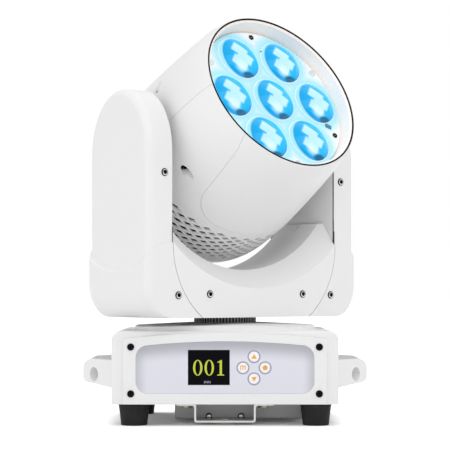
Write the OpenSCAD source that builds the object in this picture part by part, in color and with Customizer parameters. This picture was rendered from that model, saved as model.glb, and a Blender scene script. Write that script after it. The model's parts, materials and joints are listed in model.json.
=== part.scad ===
// Moving head wash light with a zooming seven-lens head, in millimetres, +Z up.
// The origin is midway between the two hanging-bolt holes, on the lower face of the
// omega brackets, straight under the pan axis.

/* [Base] */
// Width of the base housing
base_w = 220; // [212:1:236]
// Depth of the base housing
base_d = 180; // [176:1:200]
// Height of the base housing at its shoulders
base_h = 71; // [70:1:84]
// Radius of the upper long edges of the base housing
base_edge_r = 9; // [6:1:20]
// Width of the raised deck on the base
deck_w = 179; // [150:1:188]
// Depth of the raised deck
deck_d = 156; // [140:1:160]
// Height of the deck above the shoulders at its centre
deck_h = 7; // [6:0.5:12]
// Wall of the base housing
base_wall = 3; // [2:0.5:4]
// Thickness of the sheet-metal base plate
plate_t = 2; // [1.5:0.5:3]
// Width of the metal cover under the base
under_w = 128; // [100:1:140]
// Distance of that cover's middle from the pan axis
under_x = 14; // [0:1:20]

/* [Front panel] */
// Width of the base housing's band beside the front panel
panel_band = 11.5; // [9:0.5:13]
// Thickness of the front panel
panel_t = 5; // [4:0.5:6]
// Height of the front panel at its sides
panel_side_h = 63.6; // [62:0.2:63.8]
// Rise of the arched upper edge in the middle
panel_rise = 6; // [3:0.5:6]
// Width of the panel's border beside the overlay
overlay_side = 12.5; // [12:0.5:14]
// Height of the overlay at its ends
overlay_h = 46.5; // [46:0.5:48]
// Thickness of the overlay
overlay_t = 0.8; // [0.5:0.1:1.2]
// Width of the display glass
display_w = 40; // [34:1:42]
// Height of the display glass
display_h = 33; // [28:1:34]
// Distance of the display's middle from the pan axis
display_x = 15.6; // [14:0.1:18]
// Radius of a button face
button_r = 5.6; // [4.5:0.1:6]
// Distance of the button cross from the pan axis
button_x = 28; // [27:0.5:32]
// Distance of each button from the middle of the cross
button_pitch = 10.7; // [10.5:0.1:12]
// Travel of a button
button_travel = 0.8; // [0.4:0.1:1.2]

/* [Handles and feet] */
// Distance of the outer face of a handle from the base side
handle_out = 31.5; // [28:0.5:40]
// Length of a handle along the base
handle_len = 154; // [130:1:156]
// Height of a handle's section
handle_h = 27; // [22:1:30]
// Thickness of a handle's section
handle_t = 8; // [6:0.5:9]
// Radius of the safety-cable hole in a handle
handle_hole_r = 7; // [5:0.5:8]
// Height of the rubber feet
foot_h = 21; // [20:0.5:30]
// Upper radius of a foot
foot_r = 15.4; // [12:0.1:16]
// Lower radius of a foot
foot_low_r = 12.7; // [10:0.1:14]

/* [Hanging brackets] */
// Gap between the bracket web and the surface the feet stand on
web_clear = 2.5; // [1:0.5:4]
// Distance of each hanging bolt from the front or back of the base
bracket_edge = 28; // [26:1:32]
// Length of each bracket along the base
bracket_d = 30; // [26:1:34]
// Outer width of a bracket's channel
bracket_w = 60; // [50:1:60]
// Sheet thickness of a bracket
bracket_t = 2; // [1.5:0.5:3]
// Radius of the hanging-bolt hole
hang_hole_r = 6.5; // [5:0.5:7]
// Distance of a quarter-turn lock from the middle of its bracket
lock_x = 38; // [38:0.5:42]
// Radius of a lock's stud
lock_r = 3; // [2.5:0.1:3.5]

/* [Yoke] */
// Direction of the yoke, counter-clockwise from the front
pan_pose = 38; // [0:1:90]
// Height of the ribbed collar between base and yoke
collar_h = 5.5; // [4:0.5:8]
// Radius of the ribbed collar
collar_r = 31.6; // [30:0.1:36]
// Running space between the head and the trough under it
head_clear = 3.4; // [2.8:0.1:4.2]
// Running space between the head and each arm
arm_clear = 4.3; // [4:0.1:7]
// Thickness of an arm
arm_t = 27.9; // [26:0.1:32]
// Half depth of an arm, and radius of its round top
arm_r = 50.3; // [50:0.1:56]
// Radius of the arm's outer edges
arm_edge_r = 8; // [4:0.5:10]
// How far the lower block stands proud of the arm
block_proud = 2.4; // [1:0.1:4]
// Radius of the lower outer corners of the yoke
block_corner_r = 28; // [10:1:29]
// Wall of the yoke covers
cover_wall = 2.8; // [2:0.2:3.4]
// Half width of the trough's round floor
trough_y = 30; // [28:0.5:34]

/* [Drives] */
// Radius of the hollow pan post
post_r = 20; // [16:0.5:20.5]
// Radius of the fixed pan pulley
pan_pulley_r = 32; // [28:0.5:33]
// Radius of the pan motor's pinion
pan_pinion_r = 8; // [6:0.5:10]
// Distance of the pan motor from the pan axis
pan_motor_x = 72; // [68:1:74]
// Radius of the tilt shafts
shaft_r = 15; // [12:0.5:16]
// Radius of the tilt pulley
tilt_pulley_r = 24; // [20:0.5:26]
// Radius of the tilt motor's pinion
tilt_pinion_r = 6; // [5:0.5:8]
// Height of the tilt motor above the yoke's underside
tilt_motor_h = 29; // [28.5:0.1:31]

/* [Head] */
// Tilt of the head from straight up
tilt_pose = 61.5; // [0:0.5:90]
// Distance of the front lip from the tilt axis
head_front = 103.6; // [100:0.2:104]
// Radius of the front lip
lip_r = 86.6; // [86.4:0.1:87]
// Distance over which the barrel tapers to its lip
lip_len = 15.6; // [12:0.2:18]
// Radius of the barrel behind the lip
barrel_front_r = 91.3; // [91:0.1:92]
// Largest radius of the barrel
barrel_r = 99.4; // [98.6:0.1:99.6]
// Where the rear dome begins, behind the tilt axis
dome_start = 10; // [8:0.5:12]
// Length of the rear dome
dome_len = 97; // [92:0.5:97]
// Wall of the barrel covers
head_wall = 3; // [2:0.2:3.2]
// Half width of the tongue cover under the barrel
tongue_r = 67.5; // [60:0.5:70]
// Inner radius of the front rim
rim_r = 82; // [81.5:0.1:82.4]

/* [Optics] */
// Radius of a lens
lens_r = 23.1; // [20:0.1:23.5]
// Distance between neighbouring lenses
lens_pitch = 53.2; // [52.8:0.1:53.6]
// Radius of curvature of the lens faces
lens_curve_r = 36; // [30:1:50]
// Distance of the lens plate's face from the tilt axis
lens_face = 88.5; // [84:0.5:90]
// Radius of the lens carrier
carrier_r = 80.5; // [80:0.1:81]
// Radius of the circle of guide rods and lens-plate screws
guide_r = 74.5; // [74:0.1:75]
// Radius of a guide rod and of the lead screw
rod_r = 3; // [2:0.1:3.5]
// Radius of the fan's duct
fan_r = 38.5; // [30:0.5:40]

/* [Hidden] */
$fn = 96;

// Clearances: between fixed pieces, between moving bodies, and of a running fit
seat_gap = 0.2;
move_gap = 0.4;
run_gap = 0.05;
// How far a cutting solid runs past the face it cuts
past = 1;

// Heights of the base
base_z = foot_h - web_clear;
shoulder_z = base_z + base_h;
deck_z = shoulder_z + deck_h;
plate_top = base_z + plate_t;
base_front = -base_d/2;
base_back = base_d/2;
panel_back = base_front + panel_t;
frame_y = panel_back + base_wall;
shell_front = base_front + 3;
front_edge_r = 6;
back_edge_r = base_wall - 0.5;
deck_corner_r = 40;
deck_edge_z = deck_z - 3;

// Front panel and its controls
panel_w = base_w - 2*panel_band;
overlay_w = panel_w - 2*overlay_side;
panel_z = base_z;
overlay_z = base_z + 10.6;
overlay_edge_r = 12;
overlay_rise = 3.7;
control_z = overlay_z + 24.9;
display_edge = 4;
display_t = 11;
button_flange_r = button_r + 1.3;
button_flange_t = 1;
button_hole_r = button_r + move_gap;
button_stem_r = 2.5;
board_t = 1.6;
board_w = overlay_w - 24;
board_h = 44;
board_post_x = board_w/2 - 8;
board_post_z = board_h/2 - 5;
board_post_r = 3;
switch_w = 6;
board_y = panel_back + display_t;
switch_h = 3;
panel_screw_x = panel_w/2 - 7.5;
panel_screw_z = base_z + 33;
panel_screw_dz = 22.6;
screw_head_r = 3.5;
screw_head_h = 1.6;
screw_r = 1.7;
cover_head_r = 3.8;
cover_head_h = 1.2;
cover_screw_in = 5;

// Rear panel
rear_t = 2;
socket_r = 11.8;
socket_depth = 26;
flange_half_w = 13;
flange_half_h = 15.5;
flange_t = 2;
socket_side = 30;
socket_pitch = 30;
socket_xs = [-base_w/2 + socket_side, -base_w/2 + socket_side + socket_pitch,
             base_w/2 - socket_side - 4 - socket_pitch, base_w/2 - socket_side - 4];
pin_r = 1.3;
pin_circle_r = 4.5;
fuse_x = -20;
fuse_r = 6;
rear_z = base_z + 36;

// Power supply on the base plate
psu_w = 112;
psu_d = 72;
psu_h = 40;
terminal_w = 6;
terminal_d = 16;
terminal_h = 12;
plate_open_w = 100;
plate_open_d = 60;

// Handles
handle_z = base_z + 15.3;
handle_slope = 39;

// Feet
foot_x = base_w/2 - 21.4;
foot_y = base_d/2 - 18;
foot_screw_r = 5;

// Brackets and locks
bracket_y = base_d/2 - bracket_edge;
flange_w = 18;
lock_head_r = 5.5;
lock_head_h = 2.6;
lock_wing_l = 13;
lock_wing_t = 3;

// Heights of the pan drive, one on the other
yoke_plate_t = 4;
pan_motor_h = 24;
pan_drive_gap = 1.2;
drive_w = 8;
post_over = 2;

// The trough is cut about the tilt axis, round the head's longest reach behind it
lip_back = head_front - lip_len;
dome_power = 3.5;
head_reach = max([for (p = barrel_side(0)) if (p[1] < 0) norm(p)]);
trough_r = head_reach + head_clear;
drive_clear = 2.3;
drive_top = cover_wall + seat_gap + yoke_plate_t + pan_motor_h + pan_drive_gap + drive_w + post_over;
tilt_h = trough_r + cover_wall + drive_clear + drive_top;
arm_gap = 2*(barrel_r + arm_clear);

// Heights of the yoke
yoke_z = deck_z + collar_h;
tilt_z = yoke_z + tilt_h;
arm_in = arm_gap/2;
arm_out = arm_in + arm_t;
block_out = arm_out + block_proud;
block_y = arm_r + 2;
block_in = arm_in - 50;
block_dip_r = 1.57*block_y;
block_dip_z = tilt_z - 48;
block_dip_rise = 12.5;
block_sink = 14;
arm_low = block_dip_z - block_dip_r - block_sink;
seam_r = 89;
seam_cx = arm_in - move_gap - seam_r;
seam_z = tilt_z - 100.3;
seam_drop = seam_z - yoke_z;
saddle_top = tilt_z - 75.3;
yoke_plate_z = yoke_z + cover_wall + seat_gap;
yoke_plate_w = arm_gap - 83.4;
liner_h = 43.5;
liner_z = saddle_top - liner_h;
yoke_top = yoke_plate_z + yoke_plate_t;
liner_t = 3;
liner_edge = 5.3;
liner_r = arm_r - liner_edge;

// Cover screws: two in the saddle cover and two in each arm cover, front and back
mid_screw_in = 44.3;
mid_screw_x = arm_in - mid_screw_in;
mid_screw_z = yoke_z + 23.1;
low_screw_in = 6.3;
low_screw_x = arm_in - low_screw_in;
low_screw_z = yoke_z + 22.1;
high_screw_out = 9;
high_screw_x = arm_in + high_screw_out;
high_screw_drop = 32.4;
high_screw_z = tilt_z - high_screw_drop;

// Plates and bearings inside the yoke
arm_plate_x = arm_in + liner_t + seat_gap;
arm_plate_t = 3;
arm_plate_r = 34;
bearing_wall = 9;
pan_bearing_wall = 8;
pan_bearing_r = post_r + pan_bearing_wall;
pan_bearing_h = 15;
pan_flange_w = 6;
pan_flange_t = 3;
chamfer_slope = 0.83;

// Drives
motor_w = 42;
pan_drive_z = yoke_top + pan_motor_h + pan_drive_gap;
post_wall = 5;
post_flange_r = post_r + 24;
post_flange_t = 5;
belt_t = 1.2;
belt_w = drive_w - 1;
belt_gap = 0.35;
motor_shaft_r = 2.5;
motor_boss_r = 11;
pan_shaft_in = 14;
tilt_drive_x = arm_plate_x + arm_plate_t + 4.4;
tilt_motor_len = 26;
tilt_motor_z = yoke_z + tilt_motor_h;

// Head, along the optical axis from the tilt axis
frame_back = -22;
frame_t = 3;
frame_front = frame_back + frame_t;
frame_r = barrel_r - head_wall - seat_gap;
ear_in = barrel_r - 21.4;
ear_t = 12;
ear_y = 22;
air_x = barrel_r - 23.4;
air_r = 9;
led_t = 2;
led_r = 60;
chip_r = 5;
chip_h = 2.4;
pipe_start = frame_front + led_t + chip_h + 0.3;
pipe_end = 25;
sink_r = 60;
sink_base_t = 8;
sink_depth = 36;
fin_t = 2;
fin_pitch = 9;
fan_front = frame_back - sink_depth;
fan_w = 86;
fan_t = 24;
fan_back = fan_front - fan_t;
hub_r = 15;
blade_count = 7;
rim_w = 3;
ring_t = 1.2;
rim_front = head_front - 0.5 - ring_t;
rim_len = 32;
carrier_t = 4;
carrier_back = lens_face - carrier_t;
boss_r = carrier_r - guide_r - 0.7;
boss_len = 16;
zoom_motor_w = 28;
zoom_motor_len = 28;
split_gap = 0.4;
vent_pitch = 15.1;
vent_step = 3.95;
vent_start = 14.3;
vent_rows = 11;
vent_side = 5;
vent_w = 8.2;
vent_h = 4.2;
vent_in = barrel_r/2;

// Points of an arc from angle a0 to angle a1
function arc(cx, cy, r, a0, a1, n = 12) =
    [for (i = [0 : n]) let (a = a0 + (a1 - a0)*i/n) [cx + r*cos(a), cy + r*sin(a)]];

// The list in the opposite order
function backwards(p) = [for (i = [len(p) - 1 : -1 : 0]) p[i]];

// Radius of the barrel's outside, moved in by i, along the dome and up to the lip
function barrel_side(i) = concat(
    [for (t = [90 : -5 : 0])
        [(barrel_r - i)*pow(max(cos(t), 0), 2/dome_power),
         -dome_start - (dome_len - i)*pow(sin(t), 2/dome_power)]],
    [[barrel_front_r - i, lip_back]]);

// Upper edge of a panel of width w, which rises by rise in its middle
function arched_top(w, z, rise, n = 12) =
    [for (i = [0 : n]) let (x = w/2 - w*i/n) [x, z + rise*(1 - pow(2*x/w, 2))]];

// Places what follows on the pan axis, turned with the yoke
module on_yoke() rotate([0, 0, pan_pose]) children();

// Places what follows on the tilt axis, with the optical axis along Z
module on_head() on_yoke() translate([0, 0, tilt_z]) rotate([tilt_pose, 0, 0]) children();

// Extrudes a front view, drawn in X and Z, over depth d centred on y
module front_view(y, d) translate([0, y + d/2, 0]) rotate([90, 0, 0]) linear_extrude(d) children();

// A cylinder along Y from y0 to y1
module along_y(r, y0, y1) translate([0, y0, 0]) rotate([-90, 0, 0]) cylinder(r = r, h = y1 - y0);

// A cylinder along X from x0 to x1
module along_x(r, x0, x1) translate([x0, 0, 0]) rotate([0, 90, 0]) cylinder(r = r, h = x1 - x0);

// A box from its low corner to its high corner
module block(low, high) translate(low) cube(high - low);

// Outline of the base from the front, moved in by i
module base_outline(i) {
    r = base_edge_r - i/2;
    polygon(concat(
        [[base_w/2 - i, base_z - (i > 0 ? past : 0)]],
        arc(base_w/2 - i - r, shoulder_z - i - r, r, 0, 90),
        arc(-base_w/2 + i + r, shoulder_z - i - r, r, 90, 180),
        [[-base_w/2 + i, base_z - (i > 0 ? past : 0)]]));
}

// The base housing's outline from the side, swept across its width
module side_outline() translate([base_w/2, 0, 0]) rotate([90, 0, -90]) linear_extrude(base_w)
    polygon(concat(
        [[-base_back, base_z]],
        arc(-base_back + back_edge_r, shoulder_z - back_edge_r, back_edge_r, 180, 90, 6),
        arc(-shell_front - front_edge_r, shoulder_z - front_edge_r, front_edge_r, 90, 0, 6),
        [[-shell_front, base_z]]));

// The raised deck: a rounded rectangle whose top falls away gently from the collar
module deck() intersection() {
    rotate_extrude() polygon([[0, shoulder_z - past], [deck_w, shoulder_z - past],
        [deck_w, deck_edge_z - 3], [deck_w/2, deck_edge_z], [collar_r + 6, deck_z], [0, deck_z]]);
    linear_extrude(2*deck_z) for (turn = [0, 1]) {
        x = deck_w/2 - (turn == 0 ? deck_corner_r : 0);
        y = deck_d/2 - (turn == 1 ? deck_corner_r : 0);
        polygon([[-x, -y], [x, -y], [x, y], [-x, y]]);
        for (sx = [-1, 1], sy = [-1, 1])
            translate([sx*(deck_w/2 - deck_corner_r), sy*(deck_d/2 - deck_corner_r)]) circle(r = deck_corner_r);
    }
}

// Outline of the front panel, grown by g
module panel_outline(g) polygon(concat(
    [[-panel_w/2 - g, panel_z - g], [panel_w/2 + g, panel_z - g]],
    arched_top(panel_w + 2*g, panel_z + panel_side_h + g, panel_rise)));

// Outline of the printed overlay, grown by g
module overlay_outline(g) {
    r = overlay_edge_r + g;
    x = overlay_w/2 - overlay_edge_r;
    polygon(concat(
        arc(x, overlay_z + overlay_edge_r, r, -90, 0, 6),
        arc(x, overlay_z + overlay_h - overlay_edge_r, r, 0, 75, 6),
        arched_top(2*x, overlay_z + overlay_h + g, overlay_rise),
        arc(-x, overlay_z + overlay_h - overlay_edge_r, r, 105, 180, 6),
        arc(-x, overlay_z + overlay_edge_r, r, 180, 270, 6)));
}

// Window of the display, grown by g, from y0 to y1
module display_window(g, y0, y1)
    block([-display_x - display_w/2 - g, y0, control_z - display_h/2 - g],
          [-display_x + display_w/2 + g, y1, control_z + display_h/2 + g]);

// Places of the four buttons, as [x, z]
button_up_at = [button_x, control_z + button_pitch];
button_down_at = [button_x, control_z - button_pitch];
button_menu_at = [button_x - button_pitch, control_z];
button_enter_at = [button_x + button_pitch, control_z];
button_places = [button_up_at, button_down_at, button_menu_at, button_enter_at];

// Front-panel screws at their places
module at_panel_screws() for (x = [-panel_screw_x, panel_screw_x], s = [-1, 1])
    translate([x, 0, panel_screw_z + s*panel_screw_dz]) children();

module base_shell() color("white") {
    difference() {
        union() {
            intersection() {
                front_view(0, base_d) base_outline(0);
                side_outline();
            }
            deck();
        }
        // hollow inside, and under the deck
        front_view((frame_y + base_back)/2 + past, base_back - frame_y + 2*past) base_outline(base_wall);
        translate([0, 0, shoulder_z - base_wall - past])
            cylinder(r = deck_d/2 - 12, h = deck_h/2 + past);
        // seat of the front panel and the opening behind it
        front_view(base_front + panel_t/2 - past/2, panel_t + past) panel_outline(seat_gap);
        block([-panel_w/2 + 16, panel_back - past, panel_z + 7],
              [panel_w/2 - 16, frame_y + past, panel_z + panel_side_h - 5]);
        at_panel_screws() along_y(screw_r + run_gap, panel_back - past, frame_y + past);
        // passage for the pan post
        translate([0, 0, base_z]) cylinder(r = post_r + seat_gap, h = base_h + deck_h + past);
    }
}

module base_plate() color("silver") {
    x = base_w/2 - base_wall - seat_gap;
    difference() {
        block([-x, frame_y, base_z], [x, base_back - rear_t - seat_gap, plate_top]);
        for (x = [-lock_x, lock_x], y = [-bracket_y, bracket_y]) translate([x, y, 0]) {
            translate([0, 0, base_z - past]) cylinder(r = lock_r + move_gap, h = plate_t + 2*past);
            block([-lock_wing_t/2 - move_gap, -lock_wing_l/2 - move_gap, base_z - past],
                  [lock_wing_t/2 + move_gap, lock_wing_l/2 + move_gap, plate_top + past]);
        }
        block([under_x - plate_open_w/2, -plate_open_d/2, base_z - past],
              [under_x + plate_open_w/2, plate_open_d/2, plate_top + past]);
    }
}

module front_panel() color("white") {
    difference() {
        front_view(base_front + panel_t/2, panel_t) panel_outline(0);
        front_view(base_front, 2*overlay_t) overlay_outline(seat_gap/2);
        display_window(seat_gap, base_front - past, panel_back + past);
        for (p = button_places) translate([p[0], 0, p[1]])
            along_y(button_hole_r, base_front - past, panel_back + past);
        at_panel_screws() along_y(screw_r + run_gap, base_front - past, panel_back + past);
    }
    // posts that carry the control board
    for (x = [-board_post_x, board_post_x], s = [-1, 1]) translate([x, 0, control_z + s*board_post_z])
        along_y(board_post_r, panel_back, board_y);
}

module control_overlay() color("lavender") difference() {
    front_view(base_front + overlay_t/2, overlay_t) overlay_outline(0);
    display_window(seat_gap, base_front - past, panel_back);
    for (p = button_places) translate([p[0], 0, p[1]])
        along_y(button_hole_r, base_front - past, panel_back);
}

module display_module() color("black") {
    display_window(0, base_front + 0.3, panel_back);
    intersection() {
        display_window(display_edge, panel_back, board_y);
        // the housing stops short of the nearest button
        block([-base_w, panel_back, 0], [button_menu_at[0] - button_flange_r - move_gap, board_y, deck_z]);
    }
}

module control_board() color("darkgreen") {
    block([-board_w/2, board_y, control_z - board_h/2], [board_w/2, board_y + board_t, control_z + board_h/2]);
    for (p = button_places) translate([p[0], 0, p[1]])
        block([-switch_w/2, board_y - switch_h, -switch_w/2], [switch_w/2, board_y, switch_w/2]);
}

module panel_screws() color("black") at_panel_screws() {
    along_y(screw_head_r, base_front - screw_head_h, base_front);
    along_y(screw_r, base_front, frame_y + 2);
}

// A button at p: its face, its flange behind the panel and its stem towards the switch
module button(p) color("gainsboro") translate([p[0], 0, p[1]]) {
    along_y(button_r, base_front - 0.5, panel_back + move_gap);
    along_y(button_flange_r, panel_back + move_gap, panel_back + move_gap + button_flange_t);
    along_y(button_stem_r, panel_back + move_gap, board_y - switch_h - button_travel - 0.3);
}

module button_up() button(button_up_at);
module button_down() button(button_down_at);
module button_menu() button(button_menu_at);
module button_enter() button(button_enter_at);

module rear_panel() color("dimgray") difference() {
    intersection() {
        front_view(base_back - rear_t/2, rear_t) base_outline(base_wall + seat_gap);
        block([-base_w, 0, base_z], [base_w, base_d, shoulder_z]);
    }
    for (x = socket_xs) translate([x, 0, rear_z])
        along_y(socket_r + seat_gap, base_back - rear_t - past, base_back + past);
    translate([fuse_x, 0, rear_z])
        along_y(fuse_r + seat_gap, base_back - rear_t - past, base_back + past);
}

module rear_sockets() color("black") {
    for (i = [0 : 3]) translate([socket_xs[i], 0, rear_z]) difference() {
        union() {
            block([-flange_half_w, base_back, -flange_half_h],
                  [flange_half_w, base_back + flange_t, flange_half_h]);
            along_y(socket_r, base_back - socket_depth, base_back + 3);
        }
        along_y(9, base_back - socket_depth + 5, base_back + 3 + past);
    }
    // contact pins of the sockets
    for (x = socket_xs, a = [90, 210, 330]) translate([x + pin_circle_r*cos(a), 0, rear_z + pin_circle_r*sin(a)])
        along_y(pin_r, base_back - socket_depth + 4.9, base_back - 2);
    translate([fuse_x, 0, rear_z]) {
        along_y(fuse_r, base_back - 24, base_back + 1);
        along_y(fuse_r + 2, base_back, base_back + 6);
    }
}

// Length of a handle's slanted ends
handle_end = norm([handle_out, handle_slope]);

// Plan of one handle, a loop with slanted ends, moved in by i and started b inside the base
function handle_plan(i, b) = let (
    x = base_w/2,
    y = handle_len/2,
    start_y = y - i*handle_end/handle_out + b*handle_slope/handle_out,
    grip_y = y - handle_slope - i*(handle_end - handle_slope)/handle_out) [
    [x - b, -start_y], [x + handle_out - i, -grip_y], [x + handle_out - i, grip_y], [x - b, start_y]];

// Front view of one handle: it gets lower outwards and its outer corners are rounded
function handle_front() = let (x = base_w/2 + handle_out, r = 9, b = 5) concat(
    [[base_w/2, handle_z + handle_h], [base_w/2, handle_z]],
    arc(x - b, handle_z + 4 + b, b, -80, 0, 4),
    arc(x - r, handle_z + handle_h - r, r, 0, 90, 6));

module carry_handles() color("white") for (side = [0, 1]) mirror([side, 0, 0]) difference() {
    intersection() {
        linear_extrude(deck_z) difference() {
            polygon(handle_plan(0, 0));
            polygon(handle_plan(handle_t, past));
        }
        front_view(0, handle_len) polygon(handle_front());
    }
    // safety-cable hole, square through the slanted front bar
    translate([base_w/2 + 0.62*handle_out, -handle_len/2 + 0.62*handle_slope, handle_z + handle_h/2])
        rotate([0, 0, atan2(handle_slope, handle_out)]) along_y(handle_hole_r, -3*handle_t, 3*handle_t);
}

module rubber_feet() color("#202020") for (x = [-foot_x, foot_x], y = [-foot_y, foot_y])
    translate([x, y, -web_clear]) difference() {
        cylinder(r1 = foot_low_r, r2 = foot_r, h = foot_h);
        translate([0, 0, -past]) cylinder(r = foot_screw_r, h = foot_h - 6 + past);
    }

module omega_brackets() color("lightgray") for (y = [-bracket_y, bracket_y]) difference() {
    front_view(y, bracket_d) polygon([
        [-bracket_w/2 - flange_w, base_z], [-bracket_w/2 - flange_w, base_z - bracket_t],
        [-bracket_w/2, base_z - bracket_t], [-bracket_w/2, 0], [bracket_w/2, 0],
        [bracket_w/2, base_z - bracket_t], [bracket_w/2 + flange_w, base_z - bracket_t],
        [bracket_w/2 + flange_w, base_z], [bracket_w/2 - bracket_t, base_z],
        [bracket_w/2 - bracket_t, bracket_t], [-bracket_w/2 + bracket_t, bracket_t],
        [-bracket_w/2 + bracket_t, base_z]]);
    translate([0, y, -past]) cylinder(r = hang_hole_r, h = bracket_t + 2*past);
    for (x = [-lock_x, lock_x]) translate([x, y, base_z - bracket_t - past])
        cylinder(r = lock_r + run_gap, h = bracket_t + 2*past);
}

// A quarter-turn lock: slotted head below the flange, stud, and the wing that grips the plate
module lock(x, y) color("gray") translate([x, y, 0]) {
    difference() {
        translate([0, 0, base_z - bracket_t - move_gap - lock_head_h])
            cylinder(r = lock_head_r, h = lock_head_h);
        block([-lock_head_r - past, -0.7, base_z - bracket_t - move_gap - lock_head_h - past],
              [lock_head_r + past, 0.7, base_z - bracket_t - move_gap - lock_head_h + 1.2]);
    }
    translate([0, 0, base_z - bracket_t - move_gap - 0.5])
        cylinder(r = lock_r, h = plate_top - base_z + bracket_t + 2*move_gap + 0.5 + lock_wing_t/2);
    block([-lock_wing_l/2, -lock_wing_t/2, plate_top + move_gap],
          [lock_wing_l/2, lock_wing_t/2, plate_top + move_gap + lock_wing_t]);
}

module lock_front_left() lock(-lock_x, -bracket_y);
module lock_front_right() lock(lock_x, -bracket_y);
module lock_rear_left() lock(-lock_x, bracket_y);
module lock_rear_right() lock(lock_x, bracket_y);

module underside_cover() color("gray") {
    t = 1.5;
    half_d = bracket_y - bracket_d/2 - 6;
    difference() {
        block([under_x - under_w/2, -half_d, 0.5], [under_x + under_w/2, half_d, base_z]);
        block([under_x - under_w/2 + t, -half_d + t, 0.5 + t],
              [under_x + under_w/2 - t, half_d - t, base_z + past]);
    }
    for (x = [-16, 16]) translate([x, 0, 3.6]) along_y(1.8, -half_d - 1.4, -half_d + t);
}

module power_supply() color("silver") {
    low_x = under_x - psu_w/2;
    block([low_x, -psu_d/2, plate_top], [low_x + psu_w, psu_d/2, plate_top + psu_h]);
    block([low_x - terminal_w, -terminal_d/2, plate_top], [low_x, terminal_d/2, plate_top + terminal_h]);
}

module pan_post() color("silver") difference() {
    union() {
        translate([0, 0, yoke_z]) cylinder(r = post_r, h = pan_drive_z + drive_w + post_over - yoke_z);
        translate([0, 0, shoulder_z]) cylinder(r = post_r, h = yoke_z - shoulder_z);
        translate([0, 0, shoulder_z - base_wall + deck_h/2 - post_flange_t])
            cylinder(r = post_flange_r, h = post_flange_t);
    }
    translate([0, 0, base_z]) cylinder(r = post_r - post_wall, h = tilt_z);
}

module pan_collar() color("#181818") translate([0, 0, deck_z])
    linear_extrude(collar_h - move_gap) difference() {
        circle(r = collar_r);
        circle(r = post_r + seat_gap);
        for (a = [0 : 6 : 354]) rotate(a) translate([collar_r, 0]) square([2.4, 1.6], center = true);
    }

module pan_pulley() color("silver") translate([0, 0, pan_drive_z]) difference() {
    cylinder(r = pan_pulley_r, h = drive_w);
    translate([0, 0, -past]) cylinder(r = post_r, h = drive_w + 2*past);
}

module yoke_plate() color("silver") on_yoke() difference() {
    union() {
        block([-arm_plate_x, -arm_plate_r, yoke_plate_z], [arm_plate_x, arm_plate_r, yoke_top]);
        y = block_y - cover_wall - seat_gap;
        block([-yoke_plate_w/2, -y, yoke_plate_z], [yoke_plate_w/2, y, yoke_top]);
    }
    translate([0, 0, yoke_z]) cylinder(r = pan_bearing_r, h = 3*yoke_plate_t);
}

module arm_plates() color("silver") on_yoke() for (side = [0, 1]) mirror([side, 0, 0]) difference() {
    union() {
        block([arm_plate_x, -arm_plate_r, yoke_plate_z],
              [arm_plate_x + arm_plate_t, arm_plate_r, tilt_z]);
        translate([0, 0, tilt_z]) along_x(arm_plate_r, arm_plate_x, arm_plate_x + arm_plate_t);
    }
    translate([0, 0, tilt_z])
        along_x(shaft_r + bearing_wall, arm_plate_x - past, arm_plate_x + arm_plate_t + past);
    translate([0, 0, tilt_motor_z])
        along_x(motor_boss_r + seat_gap, arm_plate_x - past, arm_plate_x + arm_plate_t + past);
}

module pan_bearing() color("gray") on_yoke() translate([0, 0, yoke_plate_z]) difference() {
    union() {
        cylinder(r = pan_bearing_r, h = pan_bearing_h);
        translate([0, 0, yoke_plate_t]) cylinder(r = pan_bearing_r + pan_flange_w, h = pan_flange_t);
    }
    translate([0, 0, -past]) cylinder(r = post_r + run_gap, h = pan_bearing_h + 2*past);
}

module tilt_bearings() color("gray") on_yoke() for (side = [0, 1]) mirror([side, 0, 0])
    translate([0, 0, tilt_z]) difference() {
        along_x(shaft_r + bearing_wall, arm_plate_x - 2.4, arm_plate_x + 5.6);
        along_x(shaft_r + run_gap, arm_plate_x - 3.4, arm_plate_x + 6.6);
    }

// Where an arm's solid begins; its hollow begins inside the seam of the saddle cover
function arm_start(i) = arm_in - (i > 0 ? arm_t : 0);

// Section of an arm in plan, moved in by i, with rounded outer corners
function arm_plan(i) = let (x = arm_out - arm_edge_r, y = arm_r - arm_edge_r) concat(
    [[arm_start(i), arm_r - i]],
    arc(x, y, arm_edge_r - i, 90, 0, 6), arc(x, -y, arm_edge_r - i, 0, -90, 6),
    [[arm_start(i), -arm_r + i]]);

// Solid of an arm, moved in by i: upright, round top and lower block
module arm_solid(i) {
    translate([0, 0, arm_low]) linear_extrude(tilt_z - arm_low)
        polygon(arm_plan(i));
    translate([0, 0, tilt_z]) rotate([90, 0, 90]) rotate_extrude(angle = 180) polygon(concat(
        [[0, arm_start(i)], [arm_r - i, arm_start(i)]],
        arc(arm_r - arm_edge_r, arm_out - arm_edge_r, arm_edge_r - i, 0, 90, 6),
        [[0, arm_out - i]]));
    difference() {
        intersection() {
            front_view(0, 4*arm_r) polygon(concat(
                [[block_in, block_dip_z], [block_out - i, block_dip_z]],
                arc(block_out - block_corner_r, yoke_z + block_corner_r, block_corner_r - i, 0, -90),
                [[block_in, yoke_z + i]]));
            translate([0, 0, yoke_z]) linear_extrude(tilt_h) polygon(concat(
                [[block_in, block_y - i]],
                arc(block_out - arm_edge_r, block_y - arm_edge_r, arm_edge_r - i, 90, 0, 6),
                arc(block_out - arm_edge_r, -block_y + arm_edge_r, arm_edge_r - i, 0, -90, 6),
                [[block_in, -block_y + i]]));
        }
        // dished top, which rises towards the head
        translate([arm_out, 0, block_dip_z]) rotate([0, atan2(block_dip_rise, arm_t), 0])
            along_x(block_dip_r + i, -2*arm_r, arm_r);
    }
}

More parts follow.
